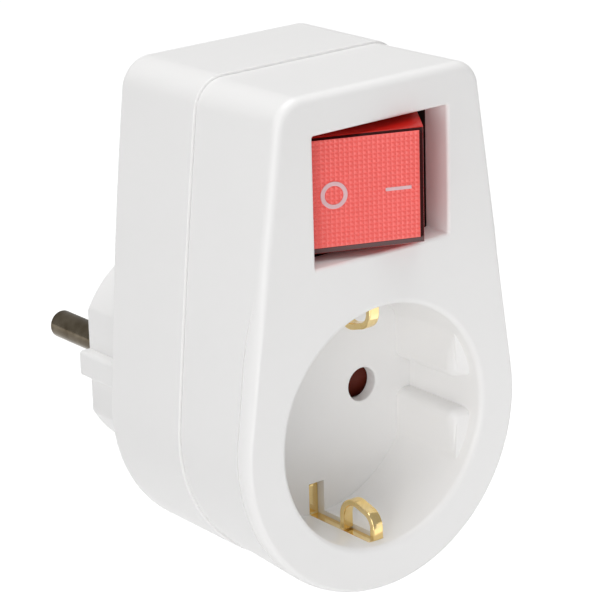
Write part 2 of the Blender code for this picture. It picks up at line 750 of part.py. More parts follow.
def contact_carrier():
    """The insulating plate that holds the socket contacts and the earth joint."""
    plate = rod(
        "contact_carrier", CARRIER_RADIUS, CARRIER_FRONT_Y, CARRIER_BACK_Y, steps=ROUND_STEPS, finish=BEIGE_PLASTIC
    )
    before = CARRIER_FRONT_Y - WALL
    after = CARRIER_BACK_Y + WALL
    cut(plate, rod("rivet_hole", RIVET_RADIUS + SHAFT_FIT, before, after))
    for sign in SIDES.values():
        cut(plate, rod("tip_hole", PIN_HOLE_RADIUS, before, after, sign * PIN_X))
        middle = sign * PIN_X
        low = (middle - CARRIER_NOTCH / 2, before, NOTCH_Z - CARRIER_NOTCH / 2)
        high = (middle + CARRIER_NOTCH / 2, after, CARRIER_RADIUS + WALL)
        cut(plate, box("wire_notch", low, high))
    return plate


def socket_contact(name, sign):
    """A spring contact: a folded strip whose two leaves close on a pin, with a solder tab."""
    x = sign * PIN_X
    base = CARRIER_FRONT_Y - FIT - STRIP / 2
    tip = FLOOR_BACK_Y + CONTACT_TIP
    pinch = tip + (base - tip) * 0.3
    wide = PIN_HOLE_RADIUS + STRIP
    bend = STRIP
    leaf = [(tip, CONTACT_MOUTH), (pinch, CONTACT_GAP + STRIP / 2), (base - 2 * bend, wide)]
    leaf += [(base - bend / 2, wide - bend / 4), (base, wide - bend)]
    path = leaf + [(y, -z) for y, z in reversed(leaf)]
    contact = strip("socket_contact_" + name, path, STRIP, CONTACT_WIDTH, middle=x, finish=BRASS)
    cut(contact, rod("contact_hole", PIN_HOLE_RADIUS - SLOT_FIT, base - STRIP, base + STRIP, x))
    tab_start = wide - 2 * bend
    low = (x - TAB_WIDTH / 2, base - STRIP / 2, tab_start)
    high = (x + TAB_WIDTH / 2, base + STRIP / 2, tab_start + TAB_HEIGHT + bend)
    join(contact, box("contact_tab", low, high))


def socket_earth_strap():
    """One strip with an earth spring at each end: through the floor, along the wall and back in a loop."""
    web = CARRIER_FRONT_Y - FIT - EARTH_STRIP / 2
    slot = EARTH_SLOT_HEIGHT
    foot = SOCKET_RADIUS + EARTH_GROOVE - SLOT_FIT - EARTH_STRIP / 2
    floor = FLOOR_FRONT_Y + EARTH_SUNK - EARTH_STRIP / 2
    bend = EARTH_BEND
    front = FRONT_Y + LOOP_FRONT
    back = front + LOOP_LENGTH
    crest = foot - LOOP_HEIGHT
    path = [(web, 0)]
    path += arc((web - bend, slot - bend), bend, 0, 90, 3)
    path += arc((floor + bend, slot + bend), bend, 270, 180, 3)
    path += arc((floor - bend, foot - bend), bend, 0, 90, 3)
    path += arc((front + bend, foot - bend), bend, 90, 180, 3)
    shoulder = crest + LOOP_RISE + LOOP_FRONT_BEND
    path += arc((front + LOOP_FRONT_BEND, shoulder), LOOP_FRONT_BEND, 180, 260, 5)
    path += arc((back - LOOP_BACK_BEND, crest + LOOP_BACK_BEND), LOOP_BACK_BEND, 255, 360, 6)
    path += [(back, foot - EARTH_STRIP / 2 - FIT)]
    whole = [(y, -z) for y, z in reversed(path[1:])] + path
    strap = strip("socket_earth_strap", whole, EARTH_STRIP, EARTH_WIDTH, finish=BRASS)
    half = EARTH_STRIP / 2
    join(strap, rod("earth_pad", RIVET_HEAD_RADIUS, web - half, web + half))
    cut(strap, rod("earth_hole_a", RIVET_RADIUS + SHAFT_FIT, web - WALL, web + WALL, steps=12))


def plug_earth_strap():
    """The plug's earth strip: across behind the carrier and out along the slots above and below the plug."""
    web = CARRIER_BACK_Y + FIT + PLUG_EARTH_STRIP / 2
    inside = BORE_RADIUS - PLUG_EARTH_STRIP / 2 - 2 * FIT
    outside = PLUG_RADIUS - PLUG_EARTH_STRIP - PLUG_EARTH_BOW
    bend = EARTH_BEND
    start = REAR_Y + WALL + bend
    end = -END_WALL - SLOT_FIT - 2 * bend
    middle = (start + end) / 2
    path = [(web, 0)]
    path += arc((web + bend, inside - bend), bend, 180, 90, 3)
    path += [(start, inside), (start + 2 * bend, outside), (middle, outside + PLUG_EARTH_BOW)]
    path += [(end, outside), (end + bend, inside)]
    whole = [(y, -z) for y, z in reversed(path[1:])] + path
    strap = strip("plug_earth_strap", whole, PLUG_EARTH_STRIP, PLUG_EARTH_WIDTH, finish=BRASS)
    cut(strap, rod("earth_hole_b", RIVET_RADIUS + SHAFT_FIT, web - WALL, web + WALL, steps=12))


def earth_rivet():
    front = CARRIER_FRONT_Y - EARTH_STRIP - 2 * FIT
    back = CARRIER_BACK_Y + PLUG_EARTH_STRIP + 2 * FIT
    profile = [(0, front - RIVET_HEAD), (RIVET_HEAD_RADIUS, front - RIVET_HEAD / 2), (RIVET_HEAD_RADIUS, front)]
    profile += [(RIVET_RADIUS, front), (RIVET_RADIUS, back), (RIVET_HEAD_RADIUS, back)]
    profile += [(RIVET_HEAD_RADIUS, back + RIVET_HEAD / 2), (0, back + RIVET_HEAD)]
    turned("earth_rivet", profile, steps=16, finish=BRASS)


def plug_pin(name, sign):
    """A round pin with a rounded tip, a head inside the plug's end wall and a solder tail."""
    head = -END_WALL - FIT
    tail = head - PIN_HEAD - PIN_TAIL
    profile = [(0, tail), (PIN_TAIL_RADIUS, tail), (PIN_TAIL_RADIUS, head - PIN_HEAD)]
    profile += [(PIN_HEAD_RADIUS, head - PIN_HEAD), (PIN_HEAD_RADIUS, head), (PIN_RADIUS, head)]
    profile += arc((PIN_RADIUS - PIN_EDGE, PIN_LENGTH - PIN_EDGE), PIN_EDGE, 0, 90, 4)
    profile.append((0, PIN_LENGTH))
    turned("plug_pin_" + name, profile, sign * PIN_X, finish=NICKEL)


def switch_body():
    """A dark box, open at the front, with bearing holes for the rocker and slots for the terminals."""
    outer = (SWITCH_HALF_WIDTH + SWITCH_WALL, SWITCH_HALF_HEIGHT + SWITCH_WALL)
    outline = [(x, WINDOW_Z + z) for x, z in rectangle(*outer, WINDOW_CORNER)]
    room = [(x, WINDOW_Z + z) for x, z in rectangle(SWITCH_HALF_WIDTH, SWITCH_HALF_HEIGHT, WINDOW_CORNER)]
    body = prism("switch_body", outline, SWITCH_FRONT_Y, SWITCH_BACK_Y, finish=DARK_PLASTIC)
    cut(body, prism("switch_room", room, SWITCH_FRONT_Y - WALL, SWITCH_FLOOR_Y))
    bearing = arc((0, PIVOT_Y), TRUNNION_RADIUS + SHAFT_FIT, 0, 360 - 360 / SMALL_STEPS, SMALL_STEPS - 1)
    reach = SWITCH_HALF_HEIGHT + 2 * SWITCH_WALL
    cut(body, prism("bearing_holes", bearing, WINDOW_Z - reach, WINDOW_Z + reach, "Z"))
    side = STRIP / 2 + SLOT_FIT
    half = BRIDGE_WIDTH / 2 + SLOT_FIT
    for z in POLES.values():
        for x in (0, FIXED_X):
            low = (x - side, SWITCH_FLOOR_Y - WALL, z - half)
            cut(body, box("terminal_slot", low, (x + side, SWITCH_BACK_Y + WALL, z + half)))
    return body


def rocker_loop(half_length, half_height, y):
    return [(x, y, z) for x, z in rectangle(half_length, half_height, ROCKER_CORNER)]


def rocker():
    """The rocker's shell about its pivot, with trunnions and a tube for each plunger, tilted to off."""
    face = (ROCKER_FACE_LENGTH / 2, ROCKER_FACE_HEIGHT / 2)
    skirt = (ROCKER_SKIRT_LENGTH / 2, ROCKER_SKIRT_HEIGHT / 2)
    inset = [size - ROCKER_EDGE for size in face]
    loops = [
        rocker_loop(*inset, -ROCKER_REACH - ROCKER_EDGE),
        rocker_loop(*face, -ROCKER_REACH),
        rocker_loop(*skirt, ROCKER_SKIRT),
    ]
    pivot = (0, PIVOT_Y, WINDOW_Z)
    made = loft("rocker", loops, finish=RED_PLASTIC, origin=pivot)
    inner_y = -ROCKER_REACH - ROCKER_EDGE + ROCKER_WALL
    hollow = [
        rocker_loop(*[size - ROCKER_WALL for size in face], inner_y),
        rocker_loop(*[size - ROCKER_WALL for size in skirt], ROCKER_SKIRT + SLOT_FIT),
    ]
    cut(made, loft("rocker_hollow", hollow))
    ends = SWITCH_HALF_HEIGHT + SWITCH_WALL - SLOT_FIT
    root = ROCKER_FACE_HEIGHT / 2
    circle = arc((0, 0), TRUNNION_RADIUS, 0, 360 - 360 / SMALL_STEPS, SMALL_STEPS - 1)
    for sign in (1, -1):
        low, high = sorted((sign * root, sign * ends))
        join(made, prism("trunnion", circle, low, high, "Z"))
        z = sign * POLE_SPACING / 2
        bore = PLUNGER_RADIUS + SLOT_FIT
        join(made, rod("plunger_tube", bore + PLUNGER_TUBE, inner_y - ROCKER_WALL / 2, ROCKER_SKIRT, z=z, steps=16))
        cut(made, rod("plunger_bore", bore, inner_y, ROCKER_SKIRT + WALL, z=z, steps=16))
    made.rotation_euler.z = -math.radians(ROCKER_TILT)
    return made


def plunger(pole, sign, carrier):
    """A sprung plunger in the rocker's tube, in the rocker's own frame."""
    z = sign * POLE_SPACING / 2
    inner_y = -ROCKER_REACH - ROCKER_EDGE + ROCKER_WALL
    start = inner_y / 4
    dome = PLUNGER_REACH - PLUNGER_RADIUS
    profile = [(0, start), (PLUNGER_RADIUS, start)]
    profile += [(radius, dome + y) for radius, y in arc((0, 0), PLUNGER_RADIUS, 0, 90, 4)]
    turned("plunger_" + pole, profile, 0, z, 16, finish=BRASS, parent=carrier)
    wire = PLUNGER_SPRING_WIRE
    low = inner_y + wire + SLOT_FIT
    high = start - wire - SLOT_FIT
    radius = PLUNGER_RADIUS - wire
    turns = coil((0, z), radius, low, (high - low) / PLUNGER_SPRING_TURNS, PLUNGER_SPRING_TURNS, 7)
    tube("plunger_spring_" + pole, turns, wire, STEEL, resolution=1, smooth=False, parent=carrier)


def neon_lamp(carrier):
    """A small lamp lying inside the rocker, close behind its face."""
    y = -ROCKER_REACH - ROCKER_EDGE + ROCKER_WALL + FIT + LAMP_RADIUS
    bm = bmesh.new()
    bmesh.ops.create_uvsphere(bm, u_segments=12, v_segments=8, radius=LAMP_RADIUS)
    for vert in bm.verts:
        vert.co.z += math.copysign(LAMP_LENGTH / 2 - LAMP_RADIUS, vert.co.z) if abs(vert.co.z) > 1e-6 else 0
    for vert in bm.verts:
        vert.co = (vert.co.z, vert.co.y + y, vert.co.x)
    mesh_object("neon_lamp", bm, finish=GLASS, parent=carrier)


def contact_bridge(pole, z):
    """A shallow V of brass that rocks on its terminal, tilted to off."""
    rise = -BRIDGE_HALF_LENGTH * math.tan(math.radians(BRIDGE_TILT))
    path = [(-BRIDGE_HALF_LENGTH, rise), (0, 0), (BRIDGE_HALF_LENGTH, rise)]
    made = strip(
        "contact_bridge_" + pole, path, STRIP, BRIDGE_WIDTH, "Z", finish=BRASS, origin=(0, BRIDGE_Y, z)
    )
    made.rotation_euler.z = math.radians(BRIDGE_TILT)


def switch_terminals(pole, z):
    half = BRIDGE_WIDTH / 2
    low = (-STRIP / 2, TERMINAL_TOP_Y, z - half)
    box("pivot_terminal_" + pole, low, (STRIP / 2, TERMINAL_END_Y, z + half), finish=BRASS)
    pad_y = TERMINAL_TOP_Y + STRIP / 2
    path = [(-BRIDGE_HALF_LENGTH + FIXED_CONTACT_IN, pad_y), (FIXED_X, pad_y), (FIXED_X, TERMINAL_END_Y)]
    strip("fixed_terminal_" + pole, path, STRIP, BRIDGE_WIDTH, "Z", z, finish=BRASS)


def lamp_resistor():
    """The lamp's resistor between the two switched terminals, on its own leads."""
    x = FIXED_X
    y = TERMINAL_END_Y - RESISTOR_RADIUS
    reach = POLE_SPACING / 2 - BRIDGE_WIDTH / 2 - FIT
    half = RESISTOR_LENGTH / 2
    profile = [(0, -reach), (RESISTOR_LEAD, -reach), (RESISTOR_LEAD, -half), (RESISTOR_RADIUS, -half)]
    profile += [(radius, -level) for radius, level in reversed(profile)]
    made = turned("lamp_resistor", profile, steps=12, finish=BEIGE_PLASTIC, origin=(x, y, WINDOW_Z))
    made.rotation_euler.x = math.pi / 2


def supply_wire(pole, sign):
    """From a plug pin's tail, through the carrier's notch, to the switch's pivot terminal."""
    x = sign * PIN_X
    z = POLES[pole]
    start = -END_WALL - PIN_HEAD - PIN_TAIL - 2 * FIT
    level = CARRIER_FRONT_Y - WIRE_RADIUS - FIT
    end = TERMINAL_END_Y + FIT
    lead = WIRE_LEAD
    points = [
        (x, start, 0),
        (x, start - lead, 0),
        (x, CARRIER_BACK_Y + 2 * lead, NOTCH_Z * 0.85),
        (x, CARRIER_BACK_Y, NOTCH_Z),
        (x * 0.85, level, NOTCH_Z + lead),
        (x * 0.4, level, (NOTCH_Z + lead + z) / 2),
        (x * 0.05, level, z - lead),
        (0, end + lead, z),
        (0, end, z),
    ]
    tube("supply_wire_" + pole, points, WIRE_RADIUS, WIRE_COVERS[pole], resolution=1)


def outlet_wire(pole, sign):
    """From a socket contact's tab to the switch's fixed terminal."""
    x = sign * PIN_X
    z = POLES[pole]
    lead = WIRE_LEAD
    tab = CARRIER_FRONT_Y - STRIP - 2 * FIT - WIRE_RADIUS
    tab_z = PIN_HOLE_RADIUS + 2 * STRIP + WIRE_RADIUS
    end = TERMINAL_END_Y + FIT
    level = TERMINAL_END_Y + WIRE_RADIUS + FIT
    outside = sign * (PIN_X + lead)
    points = [
        (x, tab, tab_z),
        (x, tab, tab_z + lead),
        (outside, level, NOTCH_Z + FIT),
        (outside, level, SOCKET_RADIUS + FIT),
    ]
    if sign > 0:
        over = z + lead + BRIDGE_WIDTH / 2
        points += [(x, level, SOCKET_RADIUS + 3 * lead), (x * 0.6, level, over), (-x * 0.4, level, over)]
        points += [(FIXED_X, end + lead, z + lead / 2)]
    else:
        points += [(x, level, z - 2 * lead), (FIXED_X, end + lead, z - lead / 2)]
    points += [(FIXED_X, end + lead / 2, z), (FIXED_X, end, z)]
    tube("outlet_wire_" + pole, points, WIRE_RADIUS, WIRE_COVERS[pole], resolution=1)


def main():
    front_housing()
    rear_housing()
    for name, (x, z) in screw_places().items():
        housing_screw(name, x, z)
    shutter()
    shutter_spring()
    shutter_retainer()
    contact_carrier()
    for name, sign in SIDES.items():
        socket_contact(name, sign)
        plug_pin(name, sign)
    socket_earth_strap()
    plug_earth_strap()
    earth_rivet()
    switch_body()
    moving = rocker()
    neon_lamp(moving)
    for (pole, z), sign in zip(POLES.items(), (-1, 1)):
        plunger(pole, sign, moving)
        contact_bridge(pole, z)
        switch_terminals(pole, z)
        supply_wire(pole, sign)
        outlet_wire(pole, sign)
    lamp_resistor()


clear_scene()
PARTS = collection("switched_socket_adapter", hidden=False)
TOOLS = collection("cutters", hidden=True)
main()
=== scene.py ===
"""Looks of the switched socket adapter: finer skins over the solid frame, materials, light and camera.

Lengths are in millimetres here and become metres in the scene. +Z is up and the socket faces -Y.
"""

import json
import math

import bmesh
import bpy
from mathutils import Matrix, Vector


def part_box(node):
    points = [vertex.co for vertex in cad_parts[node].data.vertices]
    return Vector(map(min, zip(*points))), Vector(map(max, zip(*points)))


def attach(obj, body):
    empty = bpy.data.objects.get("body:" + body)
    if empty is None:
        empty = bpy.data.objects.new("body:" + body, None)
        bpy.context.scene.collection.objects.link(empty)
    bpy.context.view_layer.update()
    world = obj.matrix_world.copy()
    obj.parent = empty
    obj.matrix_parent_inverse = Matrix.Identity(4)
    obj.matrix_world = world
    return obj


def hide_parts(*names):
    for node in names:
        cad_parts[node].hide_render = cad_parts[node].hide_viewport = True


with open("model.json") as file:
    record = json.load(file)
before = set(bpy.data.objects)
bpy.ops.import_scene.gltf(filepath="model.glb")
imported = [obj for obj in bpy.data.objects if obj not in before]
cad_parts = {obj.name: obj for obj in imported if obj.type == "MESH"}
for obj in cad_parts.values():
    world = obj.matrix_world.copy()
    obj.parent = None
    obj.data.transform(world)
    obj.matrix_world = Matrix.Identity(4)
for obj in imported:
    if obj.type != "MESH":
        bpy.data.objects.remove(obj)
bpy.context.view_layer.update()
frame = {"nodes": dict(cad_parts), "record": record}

MM = 0.001
SIDES = (1, -1)

# Places taken from the frame
FRONT_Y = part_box("front_housing")[0].y / MM
BODY_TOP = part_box("front_housing")[1].z / MM
FOOT_RADIUS = -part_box("front_housing")[0].z / MM
POST_END_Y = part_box("front_housing")[1].y / MM
PIN_TIP_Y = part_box("plug_pin_left")[1].y / MM
STRAP_BACK_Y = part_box("socket_earth_strap")[1].y / MM
PLUG_STRAP_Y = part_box("plug_earth_strap")[0].y / MM
SWITCH_BACK_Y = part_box("switch_body")[1].y / MM

# Socket
SOCKET_RADIUS = 19.75
SOCKET_DEPTH = 17.4
MOUTH_ROUND = 1.0
CUP_WALL = 2.6
FLOOR = 2.1
PIN_X = 9.5
PIN_HOLE_RADIUS = 2.8
PIN_HOLE_ROUND = 0.25
GUIDE_FLAT = 16.75
GUIDE_GROOVE = 5.4
GUIDE_START = 2.5
GUIDE_SLOPE = 1.6
GUIDE_ROUND = 1.4
GUIDE_FILLET = 2.6
POST_RADIUS = 2.1
STOP_RADIUS = 0.9
STOP_HEIGHT = 7.2

# Switch window
WINDOW_WIDTH = 26.4
WINDOW_HEIGHT = 20.6
WINDOW_ROUND = 0.6
WINDOW_CORNER = 0.3
SOCKET_TO_WINDOW = 8.9
COLLAR_WALL = 1.4
COLLAR_DEPTH = 5.3

# Housing
BODY_DEPTH = 39.5
FRONT_DEPTH = 19.8
WALL = 2.0
FIT = 0.3
SEAM_GAP = 0.1
SEAM_ROUND = 0.14
SEAM_STEP = 0.42
SEAM_CREASE = 0.08
LIP_INSET = 1.1
LIP_HEIGHT = 1.6
TOP_HALF = 19.8
FRONT_CORNER = 4.8
PARTING_CORNER = 5.5
REAR_CORNER = 5.3
FRONT_EDGE = 1.35
FRONT_FLARE = 0.25
REAR_EDGE = 1.0
SOCKET_EDGE_WIDTH = 1.1
SOCKET_EDGE_DEPTH = 3.1
FOOT_EDGE_DEPTH = 1.7
EDGE_CHANGE_HEIGHT = 26.0
EDGE_CHANGE_LENGTH = 8.0
GROOVE_DEPTH = 0.25
GROOVE_WIDTH = 0.25
GROOVE_DRAFT = 0.02
PARTING_TOP_FLARE = 0.5
PARTING_FOOT_TAPER = 1.35
PARTING_BOW = 0.2
REAR_TOP_FLARE = 0.25
REAR_TOP_DROP = 0.3
REAR_FOOT_TAPER = 2.05
REAR_BOW = 0.4

# Plug, pins and screws
PLUG_RADIUS = 18.8
PLUG_FLAT = 16.6
PLUG_RIB = 4.4
PLUG_WALL = 1.9
PLUG_EDGE = 0.6
PLUG_CORNER = 0.65
END_WALL = 2.6
PIN_RADIUS = 2.4
PIN_EDGE = 0.4
PIN_HEAD_RADIUS = 3.2
PIN_HEAD = 1.2
PIN_TAIL_RADIUS = 1.6
PIN_TAIL = 4.0
SHAFT_FIT = 0.05
SCREW_RADIUS = 1.3
SCREW_HEAD_RADIUS = 2.5
SCREW_SEAT = 7.0
SCREW_FIT = 0.2
SCREW_ABOVE_SOCKET = 1.25
SCREW_TO_SIDE = 4.8
FRONT_BOSS_RADIUS = 2.9
REAR_BOSS_RADIUS = 3.9

# Earth springs
EARTH_STRIP = 1.0
EARTH_WIDTH = 2.0
EARTH_ROUND = 0.2
EARTH_SLOT_HEIGHT = 14.9
EARTH_BEND = 0.8
EARTH_GROOVE = 1.65
EARTH_SUNK = 2.5
EARTH_ROOM = 1.0
EARTH_BACKING = 1.0
EARTH_FIT = 0.04
LOOP_FRONT = 3.0
LOOP_LENGTH = 7.5
LOOP_HEIGHT = 6.0
LOOP_RISE = 0.6
LOOP_FRONT_BEND = 2.5
LOOP_FRONT_END_DEG = 260.0
LOOP_BACK_BEND = 2.9
LOOP_BACK_START_DEG = 255.0
RIVET_RADIUS = 1.0
RIVET_HEAD_RADIUS = 2.2
PLUG_EARTH_STRIP = 0.6
PLUG_EARTH_WIDTH = 5.0
PLUG_EARTH_BOW = 0.8

# Rocker
SWITCH_WALL = 1.4
SWITCH_ROOM = 0.4
ROCKER_TILT = 22.0
ROCKER_PIVOT = 8.2
ROCKER_REACH = 8.5
ROCKER_SKIRT = 3.5
ROCKER_FACE = (18.7, 18.25)
ROCKER_SKIRT_SIZE = (23.4, 20.0)
ROCKER_CORNER = 0.4
ROCKER_SOFT = 0.12
ROCKER_WALL = 1.3
ROCKER_RIM_DEPTH = 0.45
ROCKER_RIM_SIDE = 0.8
ROCKER_RIM_TOP = 0.45
ROCKER_RIM_BOTTOM = 1.0
TRUNNION_RADIUS = 1.3
POLE_SPACING = 11.0
PLUNGER_BORE = 1.35
PLUNGER_TUBE = 0.85
RIM_INDEX = 1
FACE_INDEX = 2
KNURL_PITCH = 0.74
KNURL_HEIGHT = 0.17
SIGN_HEIGHT = 0.05
SIGN_CORNER = 0.1
OFF_SIGN_X = -5.1
OFF_SIGN_RADIUS = 2.12
OFF_SIGN_STROKE = 0.64
ON_SIGN_X = 5.1
ON_SIGN_LENGTH = 4.1
ON_SIGN_STROKE = 0.52

# Studio: lamps are (place in metres, size in metres, watts)
ROOM_LIGHT = 0.375
LAMP_AIM = (0, -0.03, 0.015)
LAMPS = {
    "overhead_lamp": ((0.0, -0.05, 0.7), 0.5, 2.7),
    "camera_lamp": ((-0.35, -0.48, 0.21), 0.35, 0.3),
    "left_lamp": ((-0.513, -0.326, 0.109), 0.25, 0.5),
    "low_lamp": ((-0.41, -0.44, -0.14), 0.25, 0.6),
    "right_lamp": ((0.09, -0.13, -0.04), 0.08, 0.014),
}
# Floor: its size, its drop below the part, and a painted glow that starts some way behind the part
PAPER_HALF = 4000.0
PAPER_DROP = 200.0
PAPER_GLOW = 0.64
GLOW_AHEAD = (0.617, 0.787, 0.0)
GLOW_REACH = (100.0, 330.0)

# Camera: azimuth, elevation and roll in degrees, and an aim that is measured from the front face
CAMERA_ANGLES = (-38.13, 18.71, -1.58)
CAMERA_AIM = (-0.77, 20.0, 16.13)
CAMERA_DISTANCE = 451.23
CAMERA_SENSOR = 36.0
CAMERA_LENS = 170.657
CAMERA_NEAR = 0.01

# Finishes: scales of noise per metre, and how far the noise changes roughness and relief
NOISE_DETAIL = 3.0
TINT_ENDS = (0.3, 0.7)
RELIEF_DEPTH = 0.02
CLOUD_SCALE = 90.0
SATIN_SCALE = 400.0
SATIN_CHANGE = 0.04
GRAIN_SCALE = 2500.0
GRAIN_STRENGTH = 0.05
METAL_DETAIL = 4.0
METAL_TINT_SCALE = 300.0
METAL_LINE_SCALE = 900.0
METAL_LINE_STRETCH = 12
METAL_SMOOTHER = 0.06
METAL_ROUGHER = 0.08
METAL_RELIEF_SCALE = 1800.0
METAL_RELIEF_STRENGTH = 0.08

# Fineness of the skins
ROUND_STEPS = 128
SMALL_STEPS = 64
CORNER_STEPS = 12
SIDE_STEPS = 12
FOOT_STEPS = 40
EDGE_STEPS = 6
BEND_STEPS = 8
CREASE_STEPS = 3
RECTANGLE_STEPS = 4
GUIDE_STEPS = 5
PLUG_STEPS = 24
BORE_STEPS = 32
LEAST_CORNER = 0.5
LEAST_MITRE = 0.5
ROUND_PROFILE = 0.5
MERGE_DISTANCE = 1e-4
SHARP_ANGLE = 32.0
FACE_WEIGHT = 100

# Places that follow from the sizes
REAR_Y = FRONT_Y + BODY_DEPTH
PARTING_Y = FRONT_Y + FRONT_DEPTH
FLOOR_FRONT_Y = FRONT_Y + SOCKET_DEPTH
FLOOR_BACK_Y = FLOOR_FRONT_Y + FLOOR
WINDOW_Z = SOCKET_RADIUS + SOCKET_TO_WINDOW + WINDOW_HEIGHT / 2
COLLAR_BACK_Y = FRONT_Y + COLLAR_DEPTH
PIVOT_Y = FRONT_Y + ROCKER_PIVOT
BORE_RADIUS = PLUG_RADIUS - PLUG_WALL
FRONT_END_Y = PARTING_Y - SEAM_GAP / 2
REAR_START_Y = PARTING_Y + SEAM_GAP / 2
PANEL_Y = -ROCKER_REACH - ROCKER_RIM_DEPTH

# Outlines as (top half width, corner radius, top, foot radius, foot centre height, bow of the sides)
FRONT_OUTLINE = (TOP_HALF + FRONT_FLARE, FRONT_CORNER, BODY_TOP, FOOT_RADIUS + FRONT_FLARE, 0.0, 0.0)
PARTING_OUTLINE = (
    TOP_HALF + PARTING_TOP_FLARE,
    PARTING_CORNER,
    BODY_TOP,
    FOOT_RADIUS - PARTING_FOOT_TAPER,
    -PARTING_FOOT_TAPER,
    PARTING_BOW,
)
REAR_OUTLINE = (
    TOP_HALF + REAR_TOP_FLARE,
    REAR_CORNER,
    BODY_TOP - REAR_TOP_DROP,
    FOOT_RADIUS - REAR_FOOT_TAPER,
    -REAR_FOOT_TAPER,
    REAR_BOW,
)


def arc(centre, radius, start, end, steps):
    """Points of an arc, with its angles in degrees."""
    angles = [math.radians(start + (end - start) * i / steps) for i in range(steps + 1)]
    return [(centre[0] + radius * math.cos(a), centre[1] + radius * math.sin(a)) for a in angles]


def circle(centre, radius):
    """Points round a circle."""
    return arc(centre, radius, 0, 360 - 360 / SMALL_STEPS, SMALL_STEPS - 1)


def mesh_object(name, bm):
    """Turns a bmesh in millimetres into an object."""
    bmesh.ops.remove_doubles(bm, verts=bm.verts, dist=MERGE_DISTANCE)
    bmesh.ops.recalc_face_normals(bm, faces=bm.faces)
    bmesh.ops.scale(bm, vec=(MM, MM, MM), verts=bm.verts)
    data = bpy.data.meshes.new(name)
    bm.to_mesh(data)
    bm.free()
    obj = bpy.data.objects.new(name, data)
    bpy.context.scene.collection.objects.link(obj)
    return obj


def bridge(bm, near, far):
    """Faces between two closed rings of vertices."""
    for i in range(len(near)):
        bm.faces.new((near[i - 1], near[i], far[i], far[i - 1]))


def loft_mesh(loops):
    """A bmesh of a closed solid through loops of the same number of points."""
    bm = bmesh.new()
    rings = [[bm.verts.new(point) for point in loop] for loop in loops]
    for near, far in zip(rings, rings[1:]):
        bridge(bm, near, far)
    bm.faces.new(rings[0])
    bm.faces.new(rings[-1])
    return bm


def loft(name, loops):
    """A closed solid through loops, as an object."""
    return mesh_object(name, loft_mesh(loops))


def prism(name, points, low, high, axis="Y"):
    """A flat outline swept along an axis: (x, z) along Y or (x, y) along Z."""
    if axis == "Y":
        return loft(name, [[(a, level, b) for a, b in points] for level in (low, high)])
    return loft(name, [[(a, b, level) for a, b in points] for level in (low, high)])


def box(name, low, high):
    """A box between two corners."""
    outline = [(low[0], low[2]), (high[0], low[2]), (high[0], high[2]), (low[0], high[2])]
    return prism(name, outline, low[1], high[1])


def turned(name, profile, x=0.0, z=0.0, steps=SMALL_STEPS):
    """A solid turned about a line along Y: its profile is (radius, y) from end to end of the axis."""
    bm = bmesh.new()
    verts = [bm.verts.new((x + radius, y, z)) for radius, y in profile]
    edges = [bm.edges.new(pair) for pair in zip(verts, verts[1:])]
    bmesh.ops.spin(
        bm,
        geom=verts + edges,
        cent=(x, 0, z),
        axis=(0, 1, 0),
        angle=math.tau,
        steps=steps,
        use_merge=True,
    )
    return mesh_object(name, bm)


def rod(name, radius, low, high, x=0.0, z=0.0, steps=SMALL_STEPS):
    """A plain round rod along Y."""
    return turned(name, [(0, low), (radius, low), (radius, high), (0, high)], x, z, steps)


def close_gaps(mesh):
    """Fills the slivers that a cut can leave open."""
    bm = bmesh.new()
    bm.from_mesh(mesh)
    bmesh.ops.holes_fill(bm, edges=[edge for edge in bm.edges if edge.is_boundary])
    bmesh.ops.recalc_face_normals(bm, faces=bm.faces)
    bm.to_mesh(mesh)
    bm.free()


def carve(target, steps):
    """Applies cuts and joins in turn, then removes their tools."""
    for operation, tool in steps:
        modifier = target.modifiers.new(tool.name, "BOOLEAN")
        modifier.operation = operation
        modifier.solver = "EXACT"
        modifier.object = tool
    graph = bpy.context.evaluated_depsgraph_get()
    old = target.data
    target.data = bpy.data.meshes.new_from_object(target.evaluated_get(graph))
    target.data.name = target.name
    target.modifiers.clear()
    bpy.data.meshes.remove(old)
    for _, tool in steps:
        bpy.data.objects.remove(tool, do_unlink=True)
    close_gaps(target.data)
    return target


def shade(obj):
    """Smooth shading with crisp corners and flat faces that stay flat."""
    obj.data.shade_smooth()
    obj.data.set_sharp_from_angle(angle=math.radians(SHARP_ANGLE))
    weighted = obj.modifiers.new("weighted_normals", "WEIGHTED_NORMAL")
    weighted.keep_sharp = True
    weighted.weight = FACE_WEIGHT
    return obj


def half_width(outline, height):
    """Half the housing's width at a height on its straight sides."""
    top_half, _, top, foot, centre, _ = outline
    return top_half + (foot - top_half) * (top - height) / (top - centre)


def body_loop(outline, inset, y):
    """The housing's outline: flat top, round corners, flared sides and a round foot."""
    top_half, corner, top, foot, centre, bow = outline
    foot -= inset
    corner = max(corner - inset, LEAST_CORNER)
    across = top_half - inset - corner
    rise = top - inset - corner
    reach = math.hypot(across, rise - centre)
    lean = math.atan2(rise - centre, across) - math.acos((foot - corner) / reach)
    lean_deg = math.degrees(lean)
    start = (across + corner * math.cos(lean), rise + corner * math.sin(lean))
    end = (foot * math.cos(lean), centre + foot * math.sin(lean))
    half = arc((across, rise), corner, 90, lean_deg, CORNER_STEPS)
    for i in range(1, SIDE_STEPS):
        share = i / SIDE_STEPS
        bulge = bow * 4 * share * (1 - share)
        x = start[0] + (end[0] - start[0]) * share + bulge * math.cos(lean)
        z = start[1] + (end[1] - start[1]) * share + bulge * math.sin(lean)
        half.append((x, z))
    half += arc((0, centre), foot, lean_deg, -90, FOOT_STEPS)
    points = half + [(-x, z) for x, z in half[-2::-1]]
    return [(x, y, z) for x, z in points]


def blend(first, second, share):
    """Values part of the way from one list to another."""
    return tuple(a + (b - a) * share for a, b in zip(first, second))


